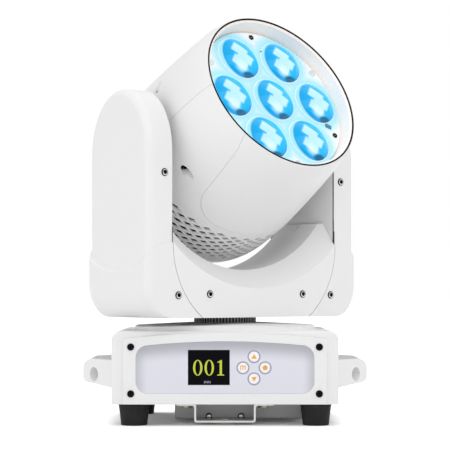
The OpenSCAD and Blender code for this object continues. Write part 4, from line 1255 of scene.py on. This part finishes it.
def saddle_side(grow=0.0):
    """Front view of the saddle's right half, with its curved seam."""
    r = SEAM_RADIUS + grow
    x = SADDLE_EDGE - SEAM_RADIUS
    z = TILT_Z - 100.3
    drop = math.degrees(math.asin((z - YOKE_Z) / SEAM_RADIUS))
    return (
        [(0.0, YOKE_Z - 5), (x + r * math.cos(math.radians(drop)), YOKE_Z - 5)]
        + arc(x, z, r, -drop, 0, 28)
        + [(x + r, TILT_Z - 72.3), (0.0, TILT_Z - 72.3)]
    )


class MOVING_HEAD_OT_arms(bpy.types.Operator):
    """Models one arm cover and mirrors it to the other side."""

    bl_idname = "moving_head.arms"
    bl_label = "Arm covers"

    def execute(self, context):
        sizes = context.scene.moving_yoke
        arm = arm_shape(sizes)
        carve(arm, arm_shape(sizes, sizes.wall))
        rebate = arm_side(sizes, 0.7, TILT_Z - 122.0)
        carve(arm, plate([(sizes.arm_inside - 1, y, z) for y, z in rebate], (3.2, 0, 0)))
        carve(arm, slab(saddle_side(0.6)))
        for x, _, z in cover_screw_places(sizes)[1:]:
            carve(arm, cover_screw_hole(x, z))
        round_edges(
            arm,
            0.3,
            2,
            lambda e: len(e.link_faces) == 2
            and e.is_convex
            and sharp(e, 0.9)
            and middle(e).x < sizes.arm_inside + 0.2,
        )
        left = copy_of(arm, MIRROR)
        finish_shell(arm, "arm_shell_right", "yoke", "arm_cover_right")
        finish_shell(left, "arm_shell_left", "yoke", "arm_cover_left")
        return {"FINISHED"}


def trough(grow=0.0):
    """The round trough about the tilt axis, with its sloping edges."""
    r = TROUGH_RADIUS + grow
    half, reach = 30.0, 110.0
    wide = r + 0.83 * (reach - half)
    shape = turned([(0.0, -reach), (wide, -reach), (r, -half), (r, half), (wide, reach), (0.0, reach)], 192)
    return set_place(shape, shift(0, 0, TILT_Z) @ FACING_FRONT)


class MOVING_HEAD_OT_saddle(bpy.types.Operator):
    """Models the saddle cover under the head, with dark strips of painted shadow behind its seams."""

    bl_idname = "moving_head.saddle"
    bl_label = "Saddle cover"

    def execute(self, context):
        sizes = context.scene.moving_yoke
        half = sizes.arm_radius + BLOCK_MORE
        top = TILT_Z - 75.3
        outline = [(x, min(max(z, YOKE_Z), top)) for x, z in saddle_side()[1:-1]]
        outline += [(-x, z) for x, z in reversed(outline)]
        saddle = plate(front_view(outline, -half), (0, 2 * half, 0))
        carve(saddle, trough())
        round_edges(
            saddle,
            2.6,
            4,
            lambda e: sharp(e, 0.25)
            and YOKE_Z + 8 < middle(e).z < top - 1.2
            and abs(abs(middle(e).y) - half) < 0.01
            and abs(middle(e).x) < 95.0,
        )
        hollow = box((-130, -half + sizes.wall, YOKE_Z - 5), (130, half - sizes.wall, TILT_Z))
        carve(hollow, trough(sizes.wall))
        carve(saddle, hollow)
        x, _, z = cover_screw_places(sizes)[0]
        for side in (-1, 1):
            carve(saddle, cover_screw_hole(side * x, z))
        slot = box((-3.6, -0.8, -4.5), (3.6, 0.8, 4.5))
        slope = Matrix.Rotation(-math.radians(50.3), 4, "Y")
        carve(saddle, set_place(slot, shift(94.8, -2.2, 193.1) @ slope))
        round_edges(
            saddle,
            0.5,
            2,
            lambda e: sharp(e, 0.9) and (abs(abs(middle(e).y) - half) < 0.3 or middle(e).z > top - 0.3),
        )
        finish_shell(saddle, "saddle_shell", "yoke", "saddle_cover", smooth=35.0)
        # Black strips behind the seams between saddle and arms: painted shadow in the gaps.
        shadow_strips = []
        for side in (-1, 1):
            shadow_strip = plate(front_view(saddle_side(0.55), side * (half - 1.4) - 0.5), (0, 1.0, 0))
            carve(shadow_strip, slab(saddle_side(0.05)))
            carve(shadow_strip, box((-5, -90, 0), (130, 90, YOKE_Z + 1.0)))
            carve(shadow_strip, box((-5, -90, TILT_Z - 84.0), (130, 90, TILT_Z)))
            round_edges(shadow_strip, 0.1, 1, lambda e: e.is_convex and sharp(e, 0.9))
            shadow_strips.append(paired(shadow_strip))
        finish_piece(joined(shadow_strips), "seam_shadow_strips", "yoke", "black_plastic")
        return {"FINISHED"}


class MOVING_HEAD_OT_liners(bpy.types.Operator):
    """Models the inner faces of the arms round the tilt shafts, with black frames of painted shadow in the gaps
    round them.
    """

    bl_idname = "moving_head.liners"
    bl_label = "Arm liners"

    def execute(self, context):
        sizes = context.scene.moving_yoke
        x = sizes.arm_inside
        foot = TILT_Z - 118.8
        liner = plate([(x, y, z) for y, z in arm_side(sizes, 3.2, foot)], (3.0, 0, 0))
        carve(liner, rod(24.4, (x - 5, 0, TILT_Z), (x + 10, 0, TILT_Z), 64))
        round_edges(liner, 0.8, 3, lambda e: lies_at(e, "x", x))
        finish_shell(paired(liner), "arm_inner_faces", "yoke", "arm_liners")
        # A black frame in the gap between liner and arm cover: painted shadow, not a seal.
        gap_shadow = plate([(x + 0.9, y, z) for y, z in arm_side(sizes, 0.75, foot)], (1.2, 0, 0))
        carve(gap_shadow, plate([(x, y, z) for y, z in arm_side(sizes, 3.6, foot - 5)], (5.0, 0, 0)))
        round_edges(gap_shadow, 0.2, 1, lambda e: e.is_convex and lies_at(e, "x", x + 0.9))
        finish_piece(paired(gap_shadow), "arm_gap_shadows", "yoke", "black_plastic")
        return {"FINISHED"}


# ---------------------------------------------------------------- head


DOME_Z = -10.0  # where the dome meets the barrel's straight part, from the tilt axis
DOME_DEPTH = 97.0
DOME_POWER = 2 / 3.5  # of sine and cosine in the dome's blunt curve
LIP_DEPTH = 15.6
MOUTH = 85.5  # radius of the opening in the lip
POCKET_X, POCKET_Z = 83.0, 26  # the sunk screws beside the lip
FIXINGS = 74.5  # radius of the circle on which the lens plate is fixed
FIXING_HOLE = 3.05


def barrel_side(sizes, inset=0.0):
    """Radius and height of the barrel from the dome's tip to behind the lip."""
    points = []
    for t in range(90, -1, -3):
        c, s = max(math.cos(math.radians(t)), 0.0), math.sin(math.radians(t))
        points.append(((sizes.radius - inset) * c**DOME_POWER, DOME_Z - (DOME_DEPTH - inset) * s**DOME_POWER))
    length = sizes.front - LIP_DEPTH - DOME_Z
    for k in range(1, 7):
        share = k / 6
        bulge = 0.8 * math.sin(math.pi * share)
        r = sizes.radius + (sizes.front_radius - sizes.radius) * share - inset + bulge
        points.append((r, DOME_Z + length * share))
    return points


def barrel(sizes):
    """The barrel's wall as one closed shell."""
    lip_back = sizes.front - LIP_DEPTH
    profile = barrel_side(sizes)
    profile += [
        (sizes.lip_radius + 0.35, sizes.front - 0.9),
        (sizes.lip_radius, sizes.front - 0.3),
        (sizes.lip_radius - 0.5, sizes.front),
        (MOUTH, sizes.front),
        (MOUTH, lip_back + 4),
        (sizes.front_radius - sizes.wall, lip_back),
    ]
    inside = barrel_side(sizes, sizes.wall)
    profile += [p for p in reversed(inside) if DOME_Z + 0.5 < p[1] < lip_back - 1]
    thin = barrel_side(sizes, sizes.wall / 2)
    profile += [p for p in reversed(thin) if p[1] < DOME_Z - 0.5]
    return turned(profile, 144)


def tongue_plan(grow=0.0):
    """The tongue cover's outline from below: straight sides and two round corners."""
    x, z, r = 39.5, 23.0, 28.0 + grow
    sides = [(x + r, 110.0), (-x - r, 110.0)]
    return sides + arc(-x, z, r, 180, 270, 12) + arc(x, z, r, 270, 360, 12)


def tongue_zone(grow=0.0):
    return plate([(u, 0.0, w) for u, w in tongue_plan(grow)], (0, -200.0, 0))


def vent_pins(sizes):
    """All the rhombic pins that cut one side's vents."""
    pin = plate([(-4.9, 49.7, 0), (0, 49.7, -2.45), (4.9, 49.7, 0), (0, 49.7, 2.45)], (0, 55.0, 0))
    places = []
    for row in range(sizes.vent_rows):
        count = 11 - row % 2
        for k in range(count):
            places.append(shift((k - (count - 1) / 2) * sizes.vent_pitch, 0, -14.3 - row * sizes.vent_step))
    return spread(pin, places)


class MOVING_HEAD_OT_barrel(bpy.types.Operator):
    """Models the barrel's two halves and the tongue cover from one spun shell."""

    bl_idname = "moving_head.barrel"
    bl_label = "Barrel"

    def execute(self, context):
        sizes = context.scene.moving_head
        shell = barrel(sizes)
        carve(shell, rod(16.0, (-200, 0, 0), (200, 0, 0), 64))
        pins = vent_pins(sizes)
        under_pins = copy_of(pins, Matrix.Scale(-1, 4, (0, 1, 0)))
        top = copy_of(shell)
        carve(top, box((-150, 0.15, -150), (150, 150, 150)), "INTERSECT")
        carve(top, pins)
        ease_split(top)
        pocketed(top, 1)
        tongue = copy_of(shell)
        carve(tongue, tongue_zone(), "INTERSECT")
        ease_split(tongue, 0.45)
        under = copy_of(shell)
        carve(under, box((-150, -150, -150), (150, -0.15, 150)), "INTERSECT")
        carve(under, tongue_zone(0.3))
        carve(under, under_pins)
        ease_split(under)
        pocketed(under, -1)
        carve(under, rod(3.3, (46.8, -120, -23), (46.8, -84.5, -23), 24))
        bpy.data.objects.remove(shell)
        finish_shell(top, "barrel_top", "head", "head_cover_top")
        finish_shell(under, "barrel_under", "head", "head_cover_bottom")
        finish_shell(tongue, "barrel_tongue", "head", "tongue_cover")
        stands = [
            shift(u, 42.6 * side, POCKET_Z) @ Matrix.Rotation(-side * math.pi / 2, 4, "X")
            for u in (-POCKET_X, POCKET_X)
            for side in (-1, 1)
        ]
        sunk = spread(socket_screw(4.3, 1.6, 2.0), stands)
        finish_piece(sunk, "pocket_screws", "head", "black_screws")
        outside = [point for point in barrel_side(sizes, 2.4) if -66 < point[1] < -9.9]
        inside = [point for point in barrel_side(sizes, 3.4) if -65 < point[1] < -9.9]
        screen = turned(outside + inside[::-1], 96)
        carve(screen, box((-150, -45, -150), (150, 45, 150)))
        ease(screen, 0.2, 1, 50)
        finish_piece(screen, "vent_screens", "head", "vent_gauze")
        return {"FINISHED"}


def pocketed(shell, side):
    """Sinks the two screw pockets into a barrel half, each with a closed sleeve."""
    for u in (-POCKET_X, POCKET_X):
        sleeve = rod(6.0, (u, 75.0 * side, POCKET_Z), (u, 37.0 * side, POCKET_Z), 32)
        carve(sleeve, rod(95.2, (0, 0, 0), (0, 0, 60), 144), "INTERSECT")
        carve(shell, sleeve, "UNION")
        carve(shell, rod(4.5, (u, 120 * side, POCKET_Z), (u, 42.5 * side, POCKET_Z), 32))
    return shell


def ease_split(obj, width=0.25):
    """Softens the long cut edges of a barrel half."""
    round_edges(
        obj,
        width,
        1,
        lambda e: len(e.link_faces) == 2
        and sharp(e, 1.0)
        and e.calc_length() > 1.2
        and middle(e).z < 103
        and (abs(middle(e).y) < 0.2 or middle(e).z > -5.3)
        and math.hypot(middle(e).x, middle(e).y) > 84.0,
    )


class MOVING_HEAD_OT_rim(bpy.types.Operator):
    """Models the white front rim and the black ring in its mouth."""

    bl_idname = "moving_head.rim"
    bl_label = "Front rim"

    def execute(self, context):
        rim = turned(
            [(82.0, 69.9), (85.0, 69.9), (85.0, 101.9), (84.5, 101.9), (84.5, 103.1)]
            + [(84.3, 103.4), (83.5, 103.2), (82.4, 101.8)],
            144,
        )
        # Painted light: the inner wall glows as if the lenses lit it, and glows less towards the top, where it is
        # painted in shade.
        finish = Finish("rim_inside_painted_glow", specular_ior_level=0.3, emission_strength=1.0)
        spot = finish.place(HEAD_AT)
        _, v, _ = finish.axes(spot)
        fine = finish.noise(spot, 1.4, 2.0)
        finish.set(
            base_color=finish.blend(fine, (0.86, 0.82, 0.78), (0.83, 0.79, 0.75)),
            roughness=0.45 + (fine - 0.5) * 0.1,
            emission_color=finish.blend(v.between(10.0, 75.0), (0.27, 0.23, 0.21), (0.14, 0.09, 0.06)),
        )
        finish.bump(fine, 0.00001)
        finish_piece(rim, "front_rim_wall", "head", finish.material, ["front_rim"])
        ring = turned(
            [(84.5, 101.9), (MOUTH, 101.9), (MOUTH, 103.4), (86.0, 103.5), (86.0, 104.2)]
            + [(85.8, 104.4), (84.8, 104.4), (84.5, 104.1)],
            144,
        )
        finish_piece(ring, "black_mouth_ring", "head", "ring_rubber", ["trim_ring"])
        return {"FINISHED"}


def lens_places(sizes):
    return [(0.0, 0.0)] + [polar(sizes.pitch, angle) for angle in range(0, 360, 60)]


def plate_glow(sizes):
    """Plate lit by its lenses: pale cyan beside them, white away from them."""
    finish = Finish("lens_plate", specular_ior_level=0.5, coat_weight=0.25, coat_roughness=0.15)
    spot = finish.place(HEAD_AT)
    u, v, _ = finish.axes(spot)
    nearest = None
    for x, y in lens_places(sizes):
        away = ((u - x) * (u - x) + (v - y) * (v - y)).root() - sizes.radius
        nearest = away if nearest is None else nearest.least(away)
    near = nearest.between(2.0, 15.0, 1.0, 0.0)
    cloud = finish.noise(spot, 0.08, 2.0)
    tint = finish.blend(near, (0.83, 0.86, 0.88), (0.36, 0.74, 0.86))
    finish.set(
        base_color=tint,
        roughness=0.22 + cloud * 0.08,
        emission_color=tint,
        emission_strength=0.14,
    )
    return finish


def lens_glow(name, centre, sizes, colours):
    """A lit lens: sky blue, with the pale stepped blocks of its light guide and a dark wedge."""
    finish = Finish(name, specular_ior_level=0.22, coat_weight=0.05, coat_roughness=0.03)
    spot = finish.place(HEAD_AT, (*centre, sizes.face + 4.5))
    u, v, w = finish.axes(spot)
    # The pattern lies deep in the lens, so it shifts over the dome as seen from the front.
    lift = w.most(-4.0)
    u = u + lift * 0.889
    v = v + lift * 0.543
    # Across and along the steps of the light guide.
    s = u * 0.78 - v * 0.62
    t = u * -0.62 - v * 0.78
    away = (u * u + v * v).root()

    def block(s0, s1, t0, t1, soft=1.3):
        across = s.between(s0 - soft, s0 + soft) * s.between(s1 - soft, s1 + soft, 1.0, 0.0)
        along = t.between(t0 - soft, t0 + soft) * t.between(t1 - soft, t1 + soft, 1.0, 0.0)
        return across * along

    def from_spot(u0, v0, wide=1.0, high=1.0):
        return ((u - u0) * (u - u0) * wide + (v - v0) * (v - v0) * high).root()

    steps = block(-12.3, 4.7, -10.8, 0.5).most(block(-3.9, 13.1, -6.5, 4.6))
    steps = steps.most(block(-6.5, 10.5, 3.0, 14.2))
    hot = from_spot(-4, -13).between(0.5, 10.0, 1.0, 0.0)
    wedge = from_spot(1, -22.5, 0.38).between(2.6, 5.6, 1.0, 0.0)
    edge = away.between(17.0, 23.0)
    cloud = finish.noise(spot, 0.12, 2.0)
    left = (u - v * 0.35).between(-22.0, 2.0, 1.0, 0.0)
    body = finish.blend(edge.most(left * 0.8), colours.glow, (0.0, 0.33, 0.70))
    lit = finish.blend(steps * (0.68 + cloud * 0.26), body, (0.62, 0.90, 0.98))
    lit = finish.blend(hot * 0.85, lit, (0.76, 0.96, 1.0))
    skirt = from_spot(-1, -2.5, 1.0, 0.80).between(20.4, 22.6)
    lit = finish.blend(skirt, lit, (0.38, 0.76, 0.90))
    lit = finish.blend(wedge, lit, (0.0, 0.11, 0.22))
    finish.set(
        base_color=finish.blend(0.9, lit, (0.0, 0.02, 0.04)),
        roughness=0.08 + cloud * 0.04,
        emission_color=lit,
        emission_strength=1.0,
    )
    return finish.material


class MOVING_HEAD_OT_lenses(bpy.types.Operator):
    """Models the lens plate, the seven lit lenses and the marks of their fixings."""

    bl_idname = "moving_head.lenses"
    bl_label = "Lenses"

    def execute(self, context):
        sizes = context.scene.moving_lenses
        colours = context.scene.moving_colours
        face = sizes.face
        disc = turned([(0.0, face - 4), (80.5, face - 4), (80.5, face - 0.5), (80.0, face), (0.0, face)], 144)
        holes = [(x, y, sizes.radius + 0.1, 64) for x, y in lens_places(sizes)]
        holes += [(*polar(FIXINGS, angle), FIXING_HOLE, 32) for angle in (30, 150, 270)]
        for x, y, radius, sides in holes:
            carve(disc, rod(radius, (x, y, face - 10), (x, y, face + 10), sides))
        low, high = face - 20, face - 3.5
        boss = turned([(FIXING_HOLE, low), (5.3, low), (5.3, high), (FIXING_HOLE, high)], 32)
        bosses = spread(boss, [shift(*polar(FIXINGS, angle), 0) for angle in (30, 150, 270)])
        round_edges(disc, 0.35, 2, lambda e: sharp(e, 0.9) and abs(middle(e).z - face) < 0.01)
        glow = plate_glow(sizes).material
        carrier = joined([disc, bosses])
        finish_piece(carrier, "lens_plate_disc", "lens_carriage", glow, ["lens_carrier"])
        r, bend = sizes.radius, sizes.curve_radius
        low = face + 1 - math.sqrt(bend**2 - r**2)
        widest = math.degrees(math.asin(r / bend))
        turns = [math.radians(widest * k / 16) for k in range(17)]
        dome = [(bend * math.sin(turn), low + bend * math.cos(turn)) for turn in turns]
        foot = [(r, face - 4.0), (r + 1.5, face - 4.0), (r + 1.5, face - 6.0), (0.0, face - 6.0)]
        lens = turned(dome + foot)
        for index, (x, y) in enumerate(lens_places(sizes)):
            glow = lens_glow(f"lit_lens_{index}", (x, y), sizes, colours)
            name = f"lens_{index}"
            replaced = ["lenses"] if index == 0 else []
            finish_piece(copy_of(lens), name, "lens_carriage", glow, replaced, (x, y, 0))
        bpy.data.objects.remove(lens)
        rise = [(r + 0.15, face), (r + 1.3, face), (r + 1.2, face + 0.35), (r + 0.7, face + 0.6)]
        rings = spread(
            turned(rise + [(r + 0.15, face + 0.5)]), [shift(x, y, 0) for x, y in lens_places(sizes)]
        )
        finish_piece(rings, "lens_rings", "lens_carriage", "lens_plate")
        clips = []
        for x, y, turn, length, width in (
            (60.0, -27.0, -25.0, 7.0, 4.4),
            (6.0, 58.0, 35.0, 2.6, 1.3),
            (31.0, 26.0, 20.0, 2.6, 1.3),
            (20.0, -39.0, 30.0, 2.6, 1.3),
        ):
            clip = box((-length / 2, -width / 2, face - 1.0), (length / 2, width / 2, face + 0.9))
            round_edges(clip, 0.3, 2, lambda e: middle(e).z > face)
            clips.append(set_place(clip, shift(x, y, 0) @ Matrix.Rotation(math.radians(turn), 4, "Z")))
        finish_piece(joined(clips), "lens_plate_clips", "lens_carriage", "clip_plastic")
        screws = spread(
            socket_screw(2.8, 1.4, 4.0), [shift(*polar(FIXINGS, angle), face) for angle in (90, 210, 330)]
        )
        finish_piece(screws, "lens_plate_screws", "lens_carriage", "plated_screws", ["lens_screws"])
        return {"FINISHED"}


# ---------------------------------------------------------------- rear, frame and stage


class MOVING_HEAD_OT_rear_panel(bpy.types.Operator):
    """Models the rear panel with its mains and data sockets and its fuse holder."""

    bl_idname = "moving_head.rear_panel"
    bl_label = "Rear panel"

    def execute(self, context):
        sizes = context.scene.moving_base
        outline = [(x, max(z, sizes.bottom)) for x, z in base_outline(sizes, sizes.wall + 0.2)]
        panel = plate(front_view(outline, BACK - 2.0), (0, 2.0, 0))
        round_edges(panel, 0.4, 2, lambda e: lies_at(e, "y", BACK))
        z = sizes.bottom + 36
        places = {"mains_in": -80.0, "mains_out": -50.0, "data_in": 46.0, "data_out": 76.0}
        for x, radius, sides in [(x, 12.0, 48) for x in places.values()] + [(FUSE_X, 6.2, 32)]:
            carve(panel, rod(radius, (x, BACK - 10, z), (x, BACK + 10, z), sides))
        finish_piece(panel, "rear_plate", "base", "rear_paint", ["rear_panel"])
        looks = {"mains_in": "mains_blue", "mains_out": "mains_grey"}
        stand = shift(0, BACK, 0) @ FACING_BACK
        for name, x in places.items():
            flange = box((-13, BACK, -15.5), (13, FLANGE, 15.5))
            round_edges(flange, 2.4, 4, lambda e: span(e, "y") > 1.9)
            round_edges(flange, 0.5, 2, lambda e: lies_at(e, "y", FLANGE))
            cup = turned(
                [(0.0, -26), (11.8, -26), (11.8, 2.4), (11.2, 3.0), (9.6, 3.0), (9.0, 2.4), (9.0, -21)]
                + [(0.0, -21)],
                48,
            )
            set_place(cup, stand)
            carve(flange, rod(11.0, (0, BACK - 5, 0), (0, BACK + 5, 0), 48))
            carve(flange, cup, "UNION")
            mains = name.startswith("mains")
            if mains:
                core = turned([(0.0, -21), (4.2, -21), (4.2, -3.0), (3.6, -2.4), (0.0, -2.4)], 32)
                carve(flange, set_place(core, stand), "UNION")
                for px, pz in [polar(9.4, angle) for angle in (60, 180, 300)]:
                    carve(flange, rod(1.2, (px, BACK - 5, pz), (px, BACK + 5, pz), 12))
            else:
                latch = box((-3.0, 91.5, 10.8), (3.0, 93.4, 14.6))
                round_edges(latch, 0.6, 2, lambda e: True)
                carve(flange, latch, "UNION")
            look = looks.get(name, "black_plastic")
            replaced = ["rear_sockets"] if name == "mains_in" else []
            finish_piece(flange, "socket_" + name, "base", look, replaced, (x, 0, z))
            metalwork = []
            for px, pz in ((-9.8, 12.4), (9.8, -12.4)):
                metalwork.append(set_place(socket_screw(1.9, 1.0, 1.5), shift(px, FLANGE, pz) @ FACING_BACK))
            for px, pz in [polar(6.6 if mains else 4.5, angle) for angle in (90, 210, 330)]:
                pin = turned([(0.0, 0.0), (1.2, 0.0), (1.2, 15.6), (0.9, 16.4), (0.0, 16.6)], 16)
                metalwork.append(set_place(pin, shift(px, BACK - 21, pz) @ FACING_BACK))
            finish_piece(
                joined(metalwork), "contacts_" + name, "base", "bright_steel", (), (x, 0, z)
            )
        cap = turned(
            [(0.0, -24), (6.0, -24), (6.0, 0.0), (8.0, 0.0), (8.0, 1.2), (7.2, 1.6), (6.9, 5.4), (6.3, 6.0)]
            + [(0.0, 6.0)],
            40,
        )
        set_place(cap, shift(FUSE_X, BACK, z) @ FACING_BACK)
        carve(cap, box((FUSE_X - 5.5, 94.8, z - 0.6), (FUSE_X + 5.5, 97, z + 0.6)))
        finish_piece(cap, "fuse_cap", "base", "black_plastic")
        return {"FINISHED"}


class MOVING_HEAD_OT_frame_finishes(bpy.types.Operator):
    """Gives the CAD nodes that still show their materials."""

    bl_idname = "moving_head.frame_finishes"
    bl_label = "Frame finishes"

    def execute(self, context):
        looks = {
            "zinc_steel": "zinc_sheet",
            "grey_sheet": "grey_sheet",
            "aluminium": "turned_aluminium",
            "steel": "bright_steel",
            "dark_steel": "motor_black",
            "rubber": "foot_rubber",
            "black_plastic": "black_plastic",
            "circuit_board": "solder_mask",
            "clear_guide": "clear_guide",
            "white_shell": "white_moulding",
        }
        slots = {part["node"]: part["material_slot"] for part in frame["record"]["subparts"]}
        for name, node in frame["nodes"].items():
            if not node.hide_render:
                node.data.materials.clear()
                look = "polished_rods" if name == "guide_rods" else looks[slots[name]]
                node.data.materials.append(shared(look))
        return {"FINISHED"}


class MOVING_HEAD_OT_stage(bpy.types.Operator):
    """Sets the floor, the lamps, the world and the camera."""

    bl_idname = "moving_head.stage"
    bl_label = "Stage"

    def execute(self, context):
        scene = context.scene
        scene.view_settings.view_transform = "Standard"
        fresh()
        bpy.ops.mesh.primitive_plane_add(size=40, location=(0, 0, CAD_BOX[0][2]))
        floor = context.object
        bpy.ops.object.transform_apply(location=True, rotation=True, scale=True)
        floor.name = "floor"
        paper = Finish("floor_paper", roughness=0.9, specular_ior_level=0.1)
        fine = paper.noise(paper.place(), 0.02, 2.0)
        paper.set(base_color=paper.blend(fine, (0.86, 0.86, 0.86), (0.84, 0.84, 0.84)))
        camera_ray, glossy_ray = paper.node("ShaderNodeLightPath", out=("Is Camera Ray", "Is Glossy Ray"))
        # Painted shadow: the floor's white glow fades towards the base's footprint, so the floor under the base
        # looks shaded.
        x, y, _ = paper.axes(paper.place())
        beside = (x.size() - 92.0).most(0.0)
        before = (y.size() - 72.0).most(0.0)
        away = (beside * beside + before * before).root()
        floor_glow_painted_shade = camera_ray.most(glossy_ray) * away.between(0.0, 36.0, 0.05, 0.55)
        paper.set(emission_color=(1.0, 1.0, 1.0), emission_strength=floor_glow_painted_shade)
        floor.data.materials.append(paper.material)
        world = bpy.data.worlds.new("studio")
        scene.world = world
        world.use_nodes = True
        background = world.node_tree.nodes["Background"]
        sky = Nodes(world.node_tree)
        camera_ray, clear_ray = sky.node("ShaderNodeLightPath", out=("Is Camera Ray", "Is Transmission Ray"))
        _, _, height = sky.axes(sky.node("ShaderNodeTexCoord", out="Generated"))
        values = {"Value": height, "From Min": 0.0, "From Max": 0.7, "To Min": 0.48, "To Max": 0.92}
        dome = sky.node("ShaderNodeMapRange", None, values)
        values = {"Value": camera_ray.most(clear_ray), "To Min": dome, "To Max": 1.0}
        sky.fill(background.inputs["Color"], (1.0, 1.0, 1.0))
        sky.fill(background.inputs["Strength"], sky.node("ShaderNodeMapRange", None, values))
        for name, place, aim, width, power in (
            ("key", (0.9, -1.5, 1.7), (0.0, 0.0, 0.2), 1.2, 7.0),
            ("front", (-0.3, -2.0, 1.1), (0.0, 0.0, 0.2), 1.6, 5.8),
            ("left", (-2.0, -0.8, 0.8), (0.0, 0.0, 0.25), 1.6, 6.5),
            ("right", (2.0, -0.3, 0.8), (0.0, 0.0, 0.25), 1.6, 3.0),
            ("top", (0.2, 0.5, 1.9), (0.0, 0.0, 0.2), 1.2, 2.0),
        ):
            fresh()
            bpy.ops.object.light_add(type="AREA", location=place)
            lamp = context.object
            lamp.name = name
            lamp.data.size = width
            lamp.data.energy = power
            lamp.rotation_euler = (Vector(aim) - Vector(place)).to_track_quat("-Z", "Y").to_euler()
        fresh()
        bpy.ops.object.camera_add(location=(0.0, -1.622, 0.1285), rotation=(math.pi / 2, 0.0, 0.0))
        camera = context.object
        camera.name = "camera"
        camera.data.lens = 127.06
        camera.data.sensor_width = 36.0
        camera.data.shift_y = 0.1458
        scene.camera = camera
        return {"FINISHED"}


class MOVING_HEAD_PT_panel(bpy.types.Panel):
    """Lists the pieces in the 3D view's sidebar."""

    bl_idname = "MOVING_HEAD_PT_panel"
    bl_label = "Moving Head"
    bl_space_type = "VIEW_3D"
    bl_region_type = "UI"
    bl_category = "Moving Head"

    def draw(self, context):
        for operator in OPERATORS:
            self.layout.operator(operator.bl_idname)


GROUPS = {
    "moving_base": BaseSizes,
    "moving_yoke": YokeSizes,
    "moving_head": HeadSizes,
    "moving_lenses": LensSizes,
    "moving_colours": LightColours,
}
OPERATORS = (
    MOVING_HEAD_OT_stage,
    MOVING_HEAD_OT_base_housing,
    MOVING_HEAD_OT_front_bezel,
    MOVING_HEAD_OT_printed_film,
    MOVING_HEAD_OT_display,
    MOVING_HEAD_OT_buttons,
    MOVING_HEAD_OT_screws,
    MOVING_HEAD_OT_handles,
    MOVING_HEAD_OT_underside,
    MOVING_HEAD_OT_collar,
    MOVING_HEAD_OT_arms,
    MOVING_HEAD_OT_saddle,
    MOVING_HEAD_OT_liners,
    MOVING_HEAD_OT_barrel,
    MOVING_HEAD_OT_rim,
    MOVING_HEAD_OT_lenses,
    MOVING_HEAD_OT_rear_panel,
    MOVING_HEAD_OT_frame_finishes,
)


def register():
    for group in GROUPS.values():
        bpy.utils.register_class(group)
    for name, group in GROUPS.items():
        setattr(bpy.types.Scene, name, PointerProperty(type=group))
    for operator in OPERATORS:
        bpy.utils.register_class(operator)
    bpy.utils.register_class(MOVING_HEAD_PT_panel)


def unregister():
    bpy.utils.unregister_class(MOVING_HEAD_PT_panel)
    for operator in reversed(OPERATORS):
        bpy.utils.unregister_class(operator)
    for name in GROUPS:
        delattr(bpy.types.Scene, name)
    for group in GROUPS.values():
        bpy.utils.unregister_class(group)


def main():
    register()
    for operator in OPERATORS:
        group, name = operator.bl_idname.split(".")
        getattr(getattr(bpy.ops, group), name)()


if __name__ == "__main__":
    main()
